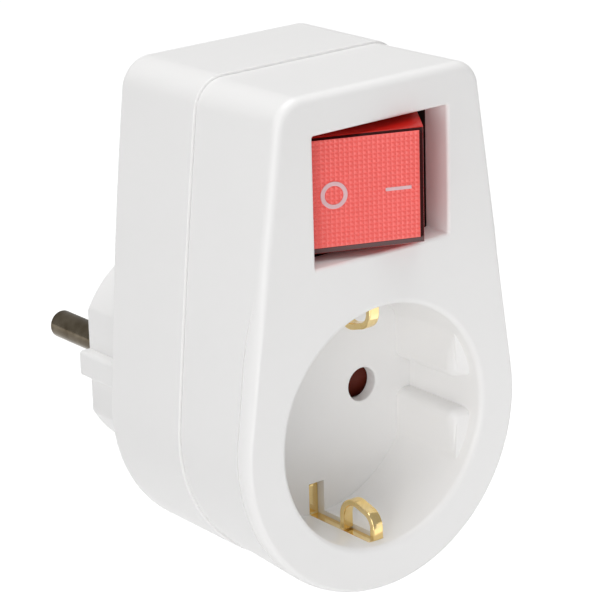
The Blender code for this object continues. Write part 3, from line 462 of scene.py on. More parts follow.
def front_outline_at(y):
    """The front shell's outline at a depth."""
    return blend(FRONT_OUTLINE, PARTING_OUTLINE, (y - FRONT_Y) / FRONT_DEPTH)


def rear_outline_at(y):
    """The rear shell's outline at a depth."""
    return blend(PARTING_OUTLINE, REAR_OUTLINE, (y - PARTING_Y) / (REAR_Y - PARTING_Y))


def rounding(radius, steps=EDGE_STEPS):
    """Steps of a quarter round, as (inset, depth)."""
    angles = [math.pi / 2 * i / steps for i in range(steps + 1)]
    return [(radius * (1 - math.sin(a)), radius * (1 - math.cos(a))) for a in angles]


def rectangle(half_x, half_z, corner):
    """A rectangle with round corners about the middle, as (x, z)."""
    points = []
    for sign_x, sign_z, start in ((1, 1, 0), (-1, 1, 90), (-1, -1, 180), (1, -1, 270)):
        centre = (sign_x * (half_x - corner), sign_z * (half_z - corner))
        points += arc(centre, corner, start, start + 90, RECTANGLE_STEPS)
    return points


def window_loop(grow, y):
    """The switch window's outline at a depth, grown all round."""
    points = rectangle(WINDOW_WIDTH / 2 + grow, WINDOW_HEIGHT / 2 + grow, WINDOW_CORNER + grow)
    return [(x, y, WINDOW_Z + z) for x, z in points]


def edge_share(z):
    """How far the front edge has changed at a height: none above its start, all a little below it."""
    return min(max((EDGE_CHANGE_HEIGHT - z) / EDGE_CHANGE_LENGTH, 0.0), 1.0)


def edge_depth(z):
    """Depth of the front edge's round, which is long beside the socket and shorter towards the foot."""
    share = min(max((EDGE_CHANGE_HEIGHT - z) / (EDGE_CHANGE_HEIGHT + FOOT_RADIUS), 0.0), 1.0)
    depth = SOCKET_EDGE_DEPTH + (FOOT_EDGE_DEPTH - SOCKET_EDGE_DEPTH) * share
    return FRONT_EDGE + (depth - FRONT_EDGE) * edge_share(z)


def edge_loops():
    """The round of the front edge, then the fine groove behind it, which starts beside the socket."""
    outer = body_loop(FRONT_OUTLINE, 0, FRONT_Y)
    inner = body_loop(FRONT_OUTLINE, FRONT_EDGE, FRONT_Y)
    loops = []
    for inset, depth in rounding(1.0):
        loop = []
        for first, second in zip(outer, inner):
            width = 1 + (SOCKET_EDGE_WIDTH / FRONT_EDGE - 1) * edge_share(first[2])
            x, y, z = blend(first, second, inset * width)
            loop.append((x, y + edge_depth(first[2]) * depth, z))
        loops.append(loop)
    for inset, depth in ((GROOVE_DEPTH, 0.0), (GROOVE_DEPTH, GROOVE_WIDTH), (0.0, GROOVE_WIDTH)):
        loop = []
        for first, second in zip(outer, inner):
            x, y, z = blend(first, second, inset / FRONT_EDGE * edge_share(first[2]))
            loop.append((x, y + edge_depth(first[2]) + depth + GROOVE_DRAFT, z))
        loops.append(loop)
    return loops


def front_shell():
    """The front shell: a rounded front edge, and a fine step down where it meets the rear shell."""
    loops = edge_loops()
    for inset, depth in reversed(rounding(SEAM_CREASE, CREASE_STEPS)):
        y = FRONT_END_Y - depth
        loops.append(body_loop(front_outline_at(y), SEAM_STEP + inset, y))
    rebate = PARTING_Y - LIP_HEIGHT - FIT
    loops += [body_loop(PARTING_OUTLINE, LIP_INSET - FIT, y) for y in (FRONT_END_Y, rebate)]
    loops += [body_loop(front_outline_at(y), WALL, y) for y in (rebate, FRONT_Y + WALL)]
    return loft("front_skin", loops)


def rimmed_hole(name, radius, lip, front, back, x=0.0, steps=SMALL_STEPS):
    """A cutter for a round hole with a rounded rim at the front."""
    profile = [(0, back), (radius, back)]
    profile += [(radius + inset, front + depth) for inset, depth in reversed(rounding(lip))]
    past = front - WALL
    profile += [(radius + lip, past), (0, past)]
    return turned(name, profile, x, steps=steps)


def guide_outline():
    """A quarter of the recess's guides: a flat that flows into the round wall, as (x, z)."""
    low = GUIDE_GROOVE / 2
    seat = SOCKET_RADIUS + CUP_WALL / 2
    centre_x = GUIDE_FLAT - GUIDE_FILLET
    centre_z = math.sqrt((SOCKET_RADIUS - GUIDE_FILLET) ** 2 - centre_x**2)
    turn = math.degrees(math.atan2(centre_z, centre_x))
    outline = [(GUIDE_FLAT, low)] + arc((centre_x, centre_z), GUIDE_FILLET, 0, turn, EDGE_STEPS)
    end_deg = math.degrees(math.asin(low / seat))
    return outline + arc((0, 0), seat, turn, end_deg, 2 * BEND_STEPS)


def socket_guide(sign_x, sign_z):
    """A flat-faced block in the recess, with a slanted front end and rounded edges where it shows."""
    outline = guide_outline()
    low = outline[0][1]
    across = GUIDE_SLOPE / (SOCKET_RADIUS - GUIDE_FLAT)
    upward = GUIDE_SLOPE / (max(z for _, z in outline) - low)
    front = []
    back = []
    for x, z in outline:
        drop = GUIDE_SLOPE - across * (x - GUIDE_FLAT) - upward * (z - low)
        front.append((sign_x * x, FRONT_Y + GUIDE_START + drop, sign_z * z))
        back.append((sign_x * x, FLOOR_FRONT_Y + FLOOR / 2, sign_z * z))
    bm = loft_mesh([front, back])
    bm.verts.ensure_lookup_table()
    count = len(outline)
    pairs = [(0, 1), (0, count - 1), (0, count)]
    shown = [bm.edges.get((bm.verts[a], bm.verts[b])) for a, b in pairs]
    bmesh.ops.bevel(
        bm,
        geom=shown,
        offset=GUIDE_ROUND,
        segments=GUIDE_STEPS,
        profile=ROUND_PROFILE,
        affect="EDGES",
    )
    bmesh.ops.triangulate(bm, faces=[face for face in bm.faces if len(face.verts) == 4])
    return mesh_object("socket_guide", bm)


def earth_backing(sign_z):
    """A pad behind the socket floor that leaves a wall behind an earth spring's groove."""
    side = EARTH_WIDTH / 2 + EARTH_BACKING
    inner = EARTH_SLOT_HEIGHT - EARTH_STRIP - EARTH_BACKING
    low, high = sorted((sign_z * inner, sign_z * (SOCKET_RADIUS + CUP_WALL - FIT)))
    back = FLOOR_BACK_Y + EARTH_BACKING
    return box("earth_backing", (-side, FLOOR_FRONT_Y + FLOOR / 2, low), (side, back, high))


def earth_clearances(sign_z):
    """The slot and the grooves for an earth spring, with shallower room beside it on one side."""
    side = EARTH_WIDTH / 2 + EARTH_FIT
    half = EARTH_STRIP / 2 + EARTH_FIT
    slot = EARTH_SLOT_HEIGHT
    bottom = SOCKET_RADIUS + EARTH_GROOVE + EARTH_FIT
    back = FLOOR_FRONT_Y + EARTH_SUNK + EARTH_FIT
    ahead = FLOOR_FRONT_Y - FLOOR
    wall = SOCKET_RADIUS - WALL
    front = FRONT_Y + LOOP_FRONT - half
    room = -side - EARTH_ROOM
    spans = {
        "earth_slot": (-side, side, slot - half, slot + half, ahead, FLOOR_BACK_Y + FLOOR),
        "floor_groove": (-side, side, slot, bottom, ahead, back),
        "wall_groove": (-side, side, wall, bottom, front, back),
        "floor_room": (room, 0.0, slot - half, bottom - EARTH_STRIP, ahead, back - EARTH_STRIP),
        "wall_room": (room, 0.0, wall, bottom - EARTH_STRIP, front, back - EARTH_STRIP),
    }
    tools = []
    for name, (left, right, inner, outer, start, end) in spans.items():
        low, high = sorted((sign_z * inner, sign_z * outer))
        tools.append(box(name, (left, start, low), (right, end, high)))
    return tools


def screw_places():
    """Where the two screws stand, as (x, z)."""
    z = SOCKET_RADIUS + SCREW_ABOVE_SOCKET
    x = half_width(REAR_OUTLINE, z) - SCREW_TO_SIDE
    return [(sign * x, z) for sign in SIDES]


def front_skin():
    """The front shell with its socket, switch window, posts, bosses and earth grooves."""
    root = FRONT_Y + WALL / 2
    window = [window_loop(WINDOW_ROUND, FRONT_Y - WALL)]
    window += [window_loop(inset, FRONT_Y + depth) for inset, depth in rounding(WINDOW_ROUND)]
    window.append(window_loop(0, COLLAR_BACK_Y + WALL))
    recess = rimmed_hole(
        "socket_recess", SOCKET_RADIUS, MOUTH_ROUND, FRONT_Y, FLOOR_FRONT_Y, steps=ROUND_STEPS
    )
    steps = [
        ("UNION", rod("cup", SOCKET_RADIUS + CUP_WALL, root, FLOOR_BACK_Y, steps=ROUND_STEPS)),
        ("UNION", loft("window_collar", [window_loop(COLLAR_WALL, y) for y in (root, COLLAR_BACK_Y)])),
        ("DIFFERENCE", recess),
        ("DIFFERENCE", loft("window_cut", window)),
    ]
    for sign in SIDES:
        steps += [("UNION", socket_guide(sign, sign_z)) for sign_z in SIDES]
        hole = rimmed_hole(
            "pin_hole", PIN_HOLE_RADIUS, PIN_HOLE_ROUND, FLOOR_FRONT_Y, PARTING_Y, sign * PIN_X
        )
        steps.append(("DIFFERENCE", hole))
    middle = FLOOR_BACK_Y - FLOOR / 2
    steps.append(("UNION", rod("shutter_post", POST_RADIUS, middle, POST_END_Y)))
    steps.append(("UNION", rod("spring_stop", STOP_RADIUS, middle, POST_END_Y, z=STOP_HEIGHT)))
    for x, z in screw_places():
        steps.append(("UNION", rod("front_boss", FRONT_BOSS_RADIUS, root, PARTING_Y - FIT / 2, x, z)))
        pilot = rod("pilot", SCREW_RADIUS + SCREW_FIT, FRONT_Y + 2 * WALL, PARTING_Y + WALL, x, z)
        steps.append(("DIFFERENCE", pilot))
    for sign in SIDES:
        steps.append(("UNION", earth_backing(sign)))
        steps += [("DIFFERENCE", tool) for tool in earth_clearances(sign)]
    return shade(carve(front_shell(), steps))


def rear_shell():
    """The rear shell: hollow, lip, softened rim and rounded rear edge."""
    inner = REAR_Y - WALL
    lip = PARTING_Y - LIP_HEIGHT
    loops = [body_loop(rear_outline_at(inner), WALL, inner)]
    loops += [body_loop(PARTING_OUTLINE, WALL, y) for y in (PARTING_Y, lip)]
    loops += [body_loop(PARTING_OUTLINE, LIP_INSET, y) for y in (lip, REAR_START_Y)]
    for inset, depth in rounding(SEAM_ROUND):
        y = REAR_START_Y + depth
        loops.append(body_loop(rear_outline_at(y), inset, y))
    for inset, depth in reversed(rounding(REAR_EDGE)):
        y = REAR_Y - depth
        loops.append(body_loop(rear_outline_at(y), inset, y))
    return loft("rear_skin", loops)


def plug_outline():
    """A round plug with a flat on each side and a guide rib along each flat, as (x, z)."""
    rib = PLUG_RIB / 2
    edge = PLUG_CORNER
    flat_deg = math.degrees(math.acos(PLUG_FLAT / PLUG_RADIUS))
    rib_x = math.sqrt(PLUG_RADIUS**2 - rib**2)
    quarter = arc((rib_x - edge, rib - edge), edge, 0, 90, EDGE_STEPS) + [(PLUG_FLAT, rib)]
    quarter += arc((0, 0), PLUG_RADIUS, flat_deg, 90, PLUG_STEPS)
    half = quarter + [(-x, z) for x, z in quarter[-2::-1]]
    return half + [(x, -z) for x, z in reversed(half)]


def inset_outline(points, inset):
    """An outline moved inwards; the points run anticlockwise."""
    moved = []
    for i, point in enumerate(points):
        here = Vector(point)
        arrive = (here - Vector(points[i - 1])).normalized()
        leave = (Vector(points[(i + 1) % len(points)]) - here).normalized()
        inward = Vector((-arrive.y - leave.y, arrive.x + leave.x)) / (1 + arrive.dot(leave))
        moved.append(here + inward * inset)
    return moved


def plug():
    """The plug, with its end edge rounded."""
    outline = plug_outline()
    levels = [(0.0, REAR_Y - WALL / 2)]
    levels += [(inset, -depth) for inset, depth in reversed(rounding(PLUG_EDGE))]
    loops = [[(x, y, z) for x, z in inset_outline(outline, inset)] for inset, y in levels]
    return loft("plug", loops)


def rear_skin():
    """The rear shell with its plug, pin seats, earth slots, switch ribs and screw bosses."""
    flat_deg = math.degrees(math.acos((PLUG_FLAT - PLUG_WALL) / BORE_RADIUS))
    upper = arc((0, 0), BORE_RADIUS, flat_deg, 180 - flat_deg, BORE_STEPS)
    bore = upper + [(x, -z) for x, z in reversed(upper)]
    steps = [("UNION", plug()), ("DIFFERENCE", prism("plug_bore", bore, REAR_Y - 2 * WALL, -END_WALL))]
    side = PLUG_EARTH_WIDTH / 2 + FIT
    rib_x = WINDOW_WIDTH / 2 + SWITCH_ROOM
    rib_half = WINDOW_HEIGHT / 2 - WALL
    for sign in SIDES:
        seat = rod("pin_seat", PIN_RADIUS + SHAFT_FIT, -2 * END_WALL, END_WALL, sign * PIN_X)
        low, high = sorted((sign * (BORE_RADIUS - PLUG_WALL), sign * (PLUG_RADIUS + PLUG_WALL)))
        slot = box("plug_earth_slot", (-side, REAR_Y + WALL, low), (side, -END_WALL - FIT, high))
        steps += [("DIFFERENCE", seat), ("DIFFERENCE", slot)]
        low, high = sorted((sign * (rib_x - SWITCH_WALL), sign * rib_x))
        near = (low, SWITCH_BACK_Y + FIT, WINDOW_Z - rib_half)
        far = (high, REAR_Y - WALL / 2, WINDOW_Z + rib_half)
        steps.append(("UNION", box("switch_rib", near, far)))
    start = PARTING_Y + FIT / 2
    seat_y = start + SCREW_SEAT
    for x, z in screw_places():
        steps.append(("UNION", rod("rear_boss", REAR_BOSS_RADIUS, start, REAR_Y - WALL / 2, x, z)))
        shank = rod("shank_hole", SCREW_RADIUS + SCREW_FIT, start - WALL, seat_y + WALL, x, z)
        head = rod("head_hole", SCREW_HEAD_RADIUS + SCREW_FIT, seat_y, REAR_Y + WALL, x, z)
        steps += [("DIFFERENCE", shank), ("DIFFERENCE", head)]
    return shade(carve(rear_shell(), steps))


def sweep(name, path, thickness, width):
    """A bent strip with rounded edges: path is its middle line as (y, z) and its width lies along X."""
    section = rectangle(width / 2, thickness / 2, EARTH_ROUND)
    loops = []
    for i, (y, z) in enumerate(path):
        before = Vector(path[max(i - 1, 0)])
        after = Vector(path[min(i + 1, len(path) - 1)])
        here = Vector((y, z))
        arrive = (here - before) if i else (after - here)
        leave = (after - here) if i < len(path) - 1 else arrive
        ahead = (arrive.normalized() + leave.normalized()).normalized()
        stretch = 1 / max(math.cos(arrive.angle(leave) / 2), LEAST_MITRE)
        loops.append([(x, y - ahead.y * t * stretch, z + ahead.x * t * stretch) for x, t in section])
    return loft(name, loops)


def earth_path():
    """Half of the strap's middle line: web, way through the floor, run along the wall and loop."""
    web = STRAP_BACK_Y - EARTH_STRIP / 2
    slot = EARTH_SLOT_HEIGHT
    foot = SOCKET_RADIUS + EARTH_GROOVE - EARTH_STRIP / 2
    floor = FLOOR_FRONT_Y + EARTH_SUNK - EARTH_STRIP / 2
    bend = EARTH_BEND
    front = FRONT_Y + LOOP_FRONT
    back = front + LOOP_LENGTH
    crest = foot - LOOP_HEIGHT
    shoulder = crest + LOOP_RISE + LOOP_FRONT_BEND
    path = [(web, 0)]
    path += arc((web - bend, slot - bend), bend, 0, 90, BEND_STEPS)
    path += arc((floor + bend, slot + bend), bend, 270, 180, BEND_STEPS)
    path += arc((floor - bend, foot - bend), bend, 0, 90, BEND_STEPS)
    path += arc((front + bend, foot - bend), bend, 90, 180, BEND_STEPS)
    fine = 2 * BEND_STEPS
    near = (front + LOOP_FRONT_BEND, shoulder)
    path += arc(near, LOOP_FRONT_BEND, 180, LOOP_FRONT_END_DEG, fine)
    far = (back - LOOP_BACK_BEND, crest + LOOP_BACK_BEND)
    path += arc(far, LOOP_BACK_BEND, LOOP_BACK_START_DEG, 360, fine)
    path.append((back, foot - EARTH_STRIP / 2 - FIT))
    return path


def mirrored(path):
    """A path from the middle upwards, with its mirror image below, as one line."""
    return [(y, -z) for y, z in reversed(path[1:])] + path


def rivet_hole(web):
    """A cutter for the rivet's hole in a strip's web."""
    return rod("earth_hole", RIVET_RADIUS + SHAFT_FIT, web - WALL, web + WALL)


def earth_skin():
    """The socket's earth strap, with a pad and a hole for its rivet."""
    path = earth_path()
    web = path[0][0]
    half = EARTH_STRIP / 2
    pad = rod("earth_pad", RIVET_HEAD_RADIUS, web - half, web + half)
    strap = sweep("earth_skin", mirrored(path), EARTH_STRIP, EARTH_WIDTH)
    return shade(carve(strap, [("UNION", pad), ("DIFFERENCE", rivet_hole(web))]))


def plug_earth_skin():
    """The plug's earth strip, bowed out through the slots above and below the plug."""
    web = PLUG_STRAP_Y + PLUG_EARTH_STRIP / 2
    inside = BORE_RADIUS - PLUG_EARTH_STRIP / 2 - 2 * FIT
    outside = PLUG_RADIUS - PLUG_EARTH_STRIP - PLUG_EARTH_BOW
    bend = EARTH_BEND
    start = REAR_Y + WALL + bend
    end = -END_WALL - FIT - 2 * bend
    middle = (start + end) / 2
    reach = (end - start) / 2 - 2 * bend
    path = [(web, 0)]
    path += arc((web + bend, inside - bend), bend, 180, 90, BEND_STEPS)
    path.append((start, inside))
    for i in range(2 * BEND_STEPS + 1):
        share = i / BEND_STEPS - 1
        path.append((middle + reach * share, outside + PLUG_EARTH_BOW * (1 - share**2)))
    path.append((end + bend, inside))
    strap = sweep("plug_earth_skin", mirrored(path), PLUG_EARTH_STRIP, PLUG_EARTH_WIDTH)
    return shade(carve(strap, [("DIFFERENCE", rivet_hole(web))]))


def pin_skin(name, sign):
    """A pin with a rounded tip, its head inside the plug's end wall and a solder tail."""
    head = -END_WALL - FIT
    profile = [(0, head - PIN_HEAD - PIN_TAIL), (PIN_TAIL_RADIUS, head - PIN_HEAD - PIN_TAIL)]
    profile += [(PIN_TAIL_RADIUS, head - PIN_HEAD), (PIN_HEAD_RADIUS, head - PIN_HEAD)]
    profile += [(PIN_HEAD_RADIUS, head), (PIN_RADIUS, head)]
    profile += arc((PIN_RADIUS - PIN_EDGE, PIN_TIP_Y - PIN_EDGE), PIN_EDGE, 0, 90, 2 * EDGE_STEPS)
    profile.append((0, PIN_TIP_Y))
    return shade(turned(name, profile, sign * PIN_X))


def in_place(obj):
    """Moves a mesh from the rocker's own frame to where the rocker rests."""
    turn = Matrix.Rotation(-math.radians(ROCKER_TILT), 4, "Z")
    obj.data.transform(Matrix.Translation(Vector((0, PIVOT_Y, WINDOW_Z)) * MM) @ turn)
    return obj


def grained_panel(bm, low_x, high_x, low_z, high_z):
    """A field of small pyramids on the rocker's face, and the ring of vertices round it."""
    count_x = round((high_x - low_x) / KNURL_PITCH)
    count_z = round((high_z - low_z) / KNURL_PITCH)
    xs = [low_x + (high_x - low_x) * i / count_x for i in range(count_x + 1)]
    zs = [low_z + (high_z - low_z) * i / count_z for i in range(count_z + 1)]
    grid = [[bm.verts.new((x, PANEL_Y, z)) for z in zs] for x in xs]
    for i in range(count_x):
        for j in range(count_z):
            corners = [grid[i][j], grid[i + 1][j], grid[i + 1][j + 1], grid[i][j + 1]]
            peak = ((xs[i] + xs[i + 1]) / 2, PANEL_Y - KNURL_HEIGHT, (zs[j] + zs[j + 1]) / 2)
            tip = bm.verts.new(peak)
            for k in range(len(corners)):
                bm.faces.new((corners[k - 1], corners[k], tip))
    ring = [column[0] for column in grid]
    ring += grid[-1][1:]
    ring += [column[-1] for column in grid[-2::-1]]
    ring += grid[0][-2:0:-1]
    return ring


def rocker_skin():
    """The rocker: hollow, with a smooth rim round a grained panel, trunnions and plunger tubes."""
    half_x, half_z = [size / 2 for size in ROCKER_FACE]
    bm = bmesh.new()
    side = half_x - ROCKER_RIM_SIDE
    ring = grained_panel(bm, -side, side, ROCKER_RIM_BOTTOM - half_z, half_z - ROCKER_RIM_TOP)
    low = [min(vert.co[axis] for vert in ring) for axis in (0, 2)]
    high = [max(vert.co[axis] for vert in ring) for axis in (0, 2)]

    def spread(size_x, size_z, y):
        """The panel's ring of vertices, spread to a larger rectangle."""
        made = []
        for vert in ring:
            x = (vert.co.x - low[0]) / (high[0] - low[0]) * 2 - 1
            z = (vert.co.z - low[1]) / (high[1] - low[1]) * 2 - 1
            made.append(bm.verts.new((x * size_x, y, z * size_z)))
        return made

    soft = ROCKER_SOFT
    levels = [
        spread(half_x - soft, half_z - soft, -ROCKER_REACH - soft / 2),
        spread(half_x, half_z, -ROCKER_REACH + soft),
        spread(ROCKER_SKIRT_SIZE[0] / 2, ROCKER_SKIRT_SIZE[1] / 2, ROCKER_SKIRT),
    ]
    for near, far in zip([ring] + levels, levels):
        bridge(bm, near, far)
    bm.faces.new(levels[-1])
    shell = mesh_object("rocker_skin", bm)
    inner_y = PANEL_Y + ROCKER_WALL
    room = [size / 2 - ROCKER_WALL for size in ROCKER_FACE]
    mouth = [size / 2 - ROCKER_WALL for size in ROCKER_SKIRT_SIZE]
    hollow = [
        [(x, y, z) for x, z in rectangle(*size, ROCKER_CORNER)]
        for size, y in ((room, inner_y), (mouth, ROCKER_SKIRT + FIT))
    ]
    steps = [("DIFFERENCE", loft("rocker_hollow", hollow))]
    trunnion = circle((0, 0), TRUNNION_RADIUS)
    root = inner_y - ROCKER_WALL / 2
    reach = WINDOW_HEIGHT / 2 + SWITCH_ROOM + SWITCH_WALL - FIT
    for sign in SIDES:
        ends = sorted((sign * half_z, sign * reach))
        steps.append(("UNION", prism("trunnion", trunnion, *ends, "Z")))
        z = sign * POLE_SPACING / 2
        tube = rod("plunger_tube", PLUNGER_BORE + PLUNGER_TUBE, root, ROCKER_SKIRT, z=z)
        bore = rod("plunger_bore", PLUNGER_BORE, inner_y, ROCKER_SKIRT + WALL, z=z)
        steps += [("UNION", tube), ("DIFFERENCE", bore)]
    carve(shell, steps)
    for face in shell.data.polygons:
        y = face.center.y / MM
        if y < -ROCKER_REACH - soft / 2:
            face.material_index = FACE_INDEX if y < PANEL_Y else RIM_INDEX
    return shade(in_place(shell))


def off_sign():
    """A thin raised ring for off."""
    base = PANEL_Y - KNURL_HEIGHT / 2
    top = PANEL_Y - KNURL_HEIGHT - SIGN_HEIGHT
    inner = OFF_SIGN_RADIUS - OFF_SIGN_STROKE
    profile = [(inner, base), (inner, top), (OFF_SIGN_RADIUS, top), (OFF_SIGN_RADIUS, base)]
    bm = bmesh.new()
    rings = []
    for radius, y in profile:
        points = circle((OFF_SIGN_X, 0), radius)
        rings.append([bm.verts.new((x, y, z)) for x, z in points])
    for near, far in zip(rings, rings[1:] + rings[:1]):
        bridge(bm, near, far)
    return shade(in_place(mesh_object("off_sign", bm)))


def on_sign():
    """A thin raised bar for on."""
    outline = rectangle(ON_SIGN_LENGTH / 2, ON_SIGN_STROKE / 2, SIGN_CORNER)
    levels = (PANEL_Y - KNURL_HEIGHT / 2, PANEL_Y - KNURL_HEIGHT - SIGN_HEIGHT)
    loops = [[(ON_SIGN_X + x, y, z) for x, z in outline] for y in levels]
    return shade(in_place(loft("on_sign", loops)))


class Nodes:
    """A material's node tree with short ways to add the nodes used here."""

    def __init__(self, name, **values):
        self.material = bpy.data.materials.new(name)
        self.material.use_nodes = True
        self.tree = self.material.node_tree
        self.shader = self.tree.nodes["Principled BSDF"]
        self.place = self.tree.nodes.new("ShaderNodeTexCoord").outputs["Object"]
        for socket, value in values.items():
            self.shader.inputs[socket.replace("_", " ")].default_value = value

    def noise(self, scale, detail=NOISE_DETAIL, stretch=(1, 1, 1)):
        """Noise in the piece's own space, from 0 to 1."""
        mapping = self.tree.nodes.new("ShaderNodeMapping")
        mapping.inputs["Scale"].default_value = stretch
        self.tree.links.new(self.place, mapping.inputs["Vector"])
        made = self.tree.nodes.new("ShaderNodeTexNoise")
        made.inputs["Scale"].default_value = scale
        made.inputs["Detail"].default_value = detail
        self.tree.links.new(mapping.outputs["Vector"], made.inputs["Vector"])
        return made.outputs["Fac"]

    def colour(self, factor, dark, light):
        """A base colour that goes from one tone to another."""
        ramp = self.tree.nodes.new("ShaderNodeValToRGB")
        for element, position, tone in zip(ramp.color_ramp.elements, TINT_ENDS, (dark, light)):
            element.position = position
            element.color = (*tone, 1.0)
        self.tree.links.new(factor, ramp.inputs["Fac"])
        self.tree.links.new(ramp.outputs["Color"], self.shader.inputs["Base Color"])

    def roughness(self, factor, low, high):
        """A roughness that changes a little from place to place."""
        span = self.tree.nodes.new("ShaderNodeMapRange")
        span.inputs["To Min"].default_value = low
        span.inputs["To Max"].default_value = high
        self.tree.links.new(factor, span.inputs["Value"])
        self.tree.links.new(span.outputs["Result"], self.shader.inputs["Roughness"])

    def height(self, level, length):
        """A factor that goes from 0 to 1 over a short length about a height."""
        split = self.tree.nodes.new("ShaderNodeSeparateXYZ")
        span = self.tree.nodes.new("ShaderNodeMapRange")
        span.inputs["From Min"].default_value = (level - length / 2) * MM
        span.inputs["From Max"].default_value = (level + length / 2) * MM
        self.tree.links.new(self.place, split.inputs["Vector"])
        self.tree.links.new(split.outputs["Z"], span.inputs["Value"])
        return span.outputs["Result"]

    def glow(self, strength, ahead, start, end):
        """Light of its own: none before one distance ahead of the middle, full beyond another."""
        reach = self.tree.nodes.new("ShaderNodeVectorMath")
        reach.operation = "DOT_PRODUCT"
        reach.inputs[1].default_value = ahead
        span = self.tree.nodes.new("ShaderNodeMapRange")
        span.interpolation_type = "SMOOTHSTEP"
        span.inputs["From Min"].default_value = start * MM
        span.inputs["From Max"].default_value = end * MM
        span.inputs["To Max"].default_value = strength
        self.tree.links.new(self.place, reach.inputs[0])
        self.tree.links.new(reach.outputs["Value"], span.inputs["Value"])
        self.tree.links.new(span.outputs["Result"], self.shader.inputs["Emission Strength"])

    def bump(self, factor, strength):
        """A very fine relief."""
        made = self.tree.nodes.new("ShaderNodeBump")
        made.inputs["Strength"].default_value = strength
        made.inputs["Distance"].default_value = RELIEF_DEPTH * MM
        self.tree.links.new(factor, made.inputs["Height"])
        self.tree.links.new(made.outputs["Normal"], self.shader.inputs["Normal"])


def plastic(name, dark, light, rough, **values):
    """A moulded plastic with faint cloudiness and a fine satin grain."""
    made = Nodes(name, **values)
    made.colour(made.noise(CLOUD_SCALE), dark, light)
    made.roughness(made.noise(SATIN_SCALE), rough - SATIN_CHANGE, rough + SATIN_CHANGE)
    made.bump(made.noise(GRAIN_SCALE), GRAIN_STRENGTH)
    return made.material


def metal(name, dark, light, rough, stretch=(1, 1, METAL_LINE_STRETCH)):
    """A drawn or rolled metal with fine lines and slight colour changes."""
    made = Nodes(name, Metallic=1.0)
    made.colour(made.noise(METAL_TINT_SCALE, METAL_DETAIL), dark, light)
    lines = made.noise(METAL_LINE_SCALE, METAL_DETAIL, stretch)
    made.roughness(lines, rough - METAL_SMOOTHER, rough + METAL_ROUGHER)
    made.bump(made.noise(METAL_RELIEF_SCALE, stretch=stretch), METAL_RELIEF_STRENGTH)
    return made.material


def materials():
    """The finish of each material slot."""
    return {
        "housing_white": plastic("housing_white", (0.951, 0.945, 0.939), (0.961, 0.955, 0.949), 0.36),
        "rocker_red": plastic(
            "rocker_red", (0.5, 0.008, 0.004), (0.56, 0.011, 0.006), 0.2, Specular_IOR_Level=0.2
        ),
        "switch_black": plastic("switch_black", (0.025, 0.02, 0.019), (0.032, 0.026, 0.024), 0.45),
        "shutter_brown": plastic(
            "shutter_brown", (0.1, 0.013, 0.006), (0.13, 0.018, 0.008), 0.5, Specular_IOR_Level=0.2
        ),
        "carrier_beige": plastic("carrier_beige", (0.55, 0.45, 0.3), (0.62, 0.52, 0.36), 0.5),
        "brass": metal("brass", (0.96, 0.7, 0.28), (1.0, 0.8, 0.42), 0.13),
        # The pins' dark brown base colour is a painted reflection of dark surroundings, darker than the
        # plating's own colour.
        "plated_pin": metal(
            "plated_pin", (0.13, 0.1, 0.062), (0.26, 0.22, 0.16), 0.22, (1, METAL_LINE_STRETCH, 1)
        ),
        "steel": metal("steel", (0.5, 0.5, 0.51), (0.6, 0.6, 0.61), 0.3),
        "lamp_glass": plastic(
            "lamp_glass", (0.8, 0.7, 0.64), (0.84, 0.74, 0.68), 0.1, Transmission_Weight=0.9
        ),
        "wire_brown": plastic("wire_brown", (0.12, 0.05, 0.02), (0.16, 0.07, 0.03), 0.5),
        "wire_blue": plastic("wire_blue", (0.025, 0.08, 0.36), (0.035, 0.1, 0.42), 0.5),
    }


def rocker_materials(walls):
    """The rocker's walls, its dark clear rim with a paler band below that is a painted reflection, and
    its grained face with a faint glow that is partly painted light.
    """
    rim = Nodes("rocker_rim", Roughness=0.3, Specular_IOR_Level=0.05)
    # The rim turns paler below its lower edge: a painted reflection, not a colour of the plastic.
    level = rim.height(WINDOW_Z - ROCKER_FACE[1] / 2 + ROCKER_RIM_BOTTOM, KNURL_PITCH)
    rim.colour(level, (0.16, 0.1, 0.1), (0.035, 0.0015, 0.0015))
    # The face's faint glow is partly the neon lamp behind it and partly painted light that makes up for
    # the shade inside the switch window.
    face = plastic(
        "rocker_face",
        (0.84, 0.125, 0.11),
        (0.9, 0.14, 0.125),
        0.3,
        Emission_Color=(0.9, 0.11, 0.09, 1),
        Emission_Strength=0.12,
    )
    return [walls, rim.material, face]


def area_light(name, place, size, energy):
    """A square lamp that points at the part."""
    data = bpy.data.lights.new(name, "AREA")
    data.energy = energy
    data.size = size
    obj = bpy.data.objects.new(name, data)
    obj.location = place
    obj.rotation_euler = (Vector(LAMP_AIM) - obj.location).to_track_quat("-Z", "Y").to_euler()
    bpy.context.scene.collection.objects.link(obj)


def white_floor():
    """A pale floor well below the part, which is lit from within behind it, as a light table is: a
    painted glow that brightens the floor away from the part and lights the part from below, so the
    floor near the part stays darker like a soft shadow.
    """
    bm = bmesh.new()
    bmesh.ops.create_grid(bm, x_segments=1, y_segments=1, size=PAPER_HALF)
    floor = mesh_object("floor", bm)
    floor.location.z = -PAPER_DROP * MM
    paper = Nodes("floor_paper", Roughness=0.8, Emission_Color=(1, 1, 1, 1))
    paper.colour(paper.noise(CLOUD_SCALE), (0.97, 0.97, 0.97), (0.98, 0.98, 0.98))
    # Painted light: the floor glows only some way behind the part.
    paper.glow(PAPER_GLOW, GLOW_AHEAD, *GLOW_REACH)
    floor.data.materials.append(paper.material)


def studio():
    """A white room with soft lamps."""
    scene = bpy.context.scene
    world = bpy.data.worlds.new("room")
    world.use_nodes = True
    background = world.node_tree.nodes["Background"]
    background.inputs["Color"].default_value = (1.0, 1.0, 1.0, 1.0)
    background.inputs["Strength"].default_value = ROOM_LIGHT
    scene.world = world
    scene.view_settings.view_transform = "Standard"
    for name, (place, size, energy) in LAMPS.items():
        area_light(name, place, size, energy)


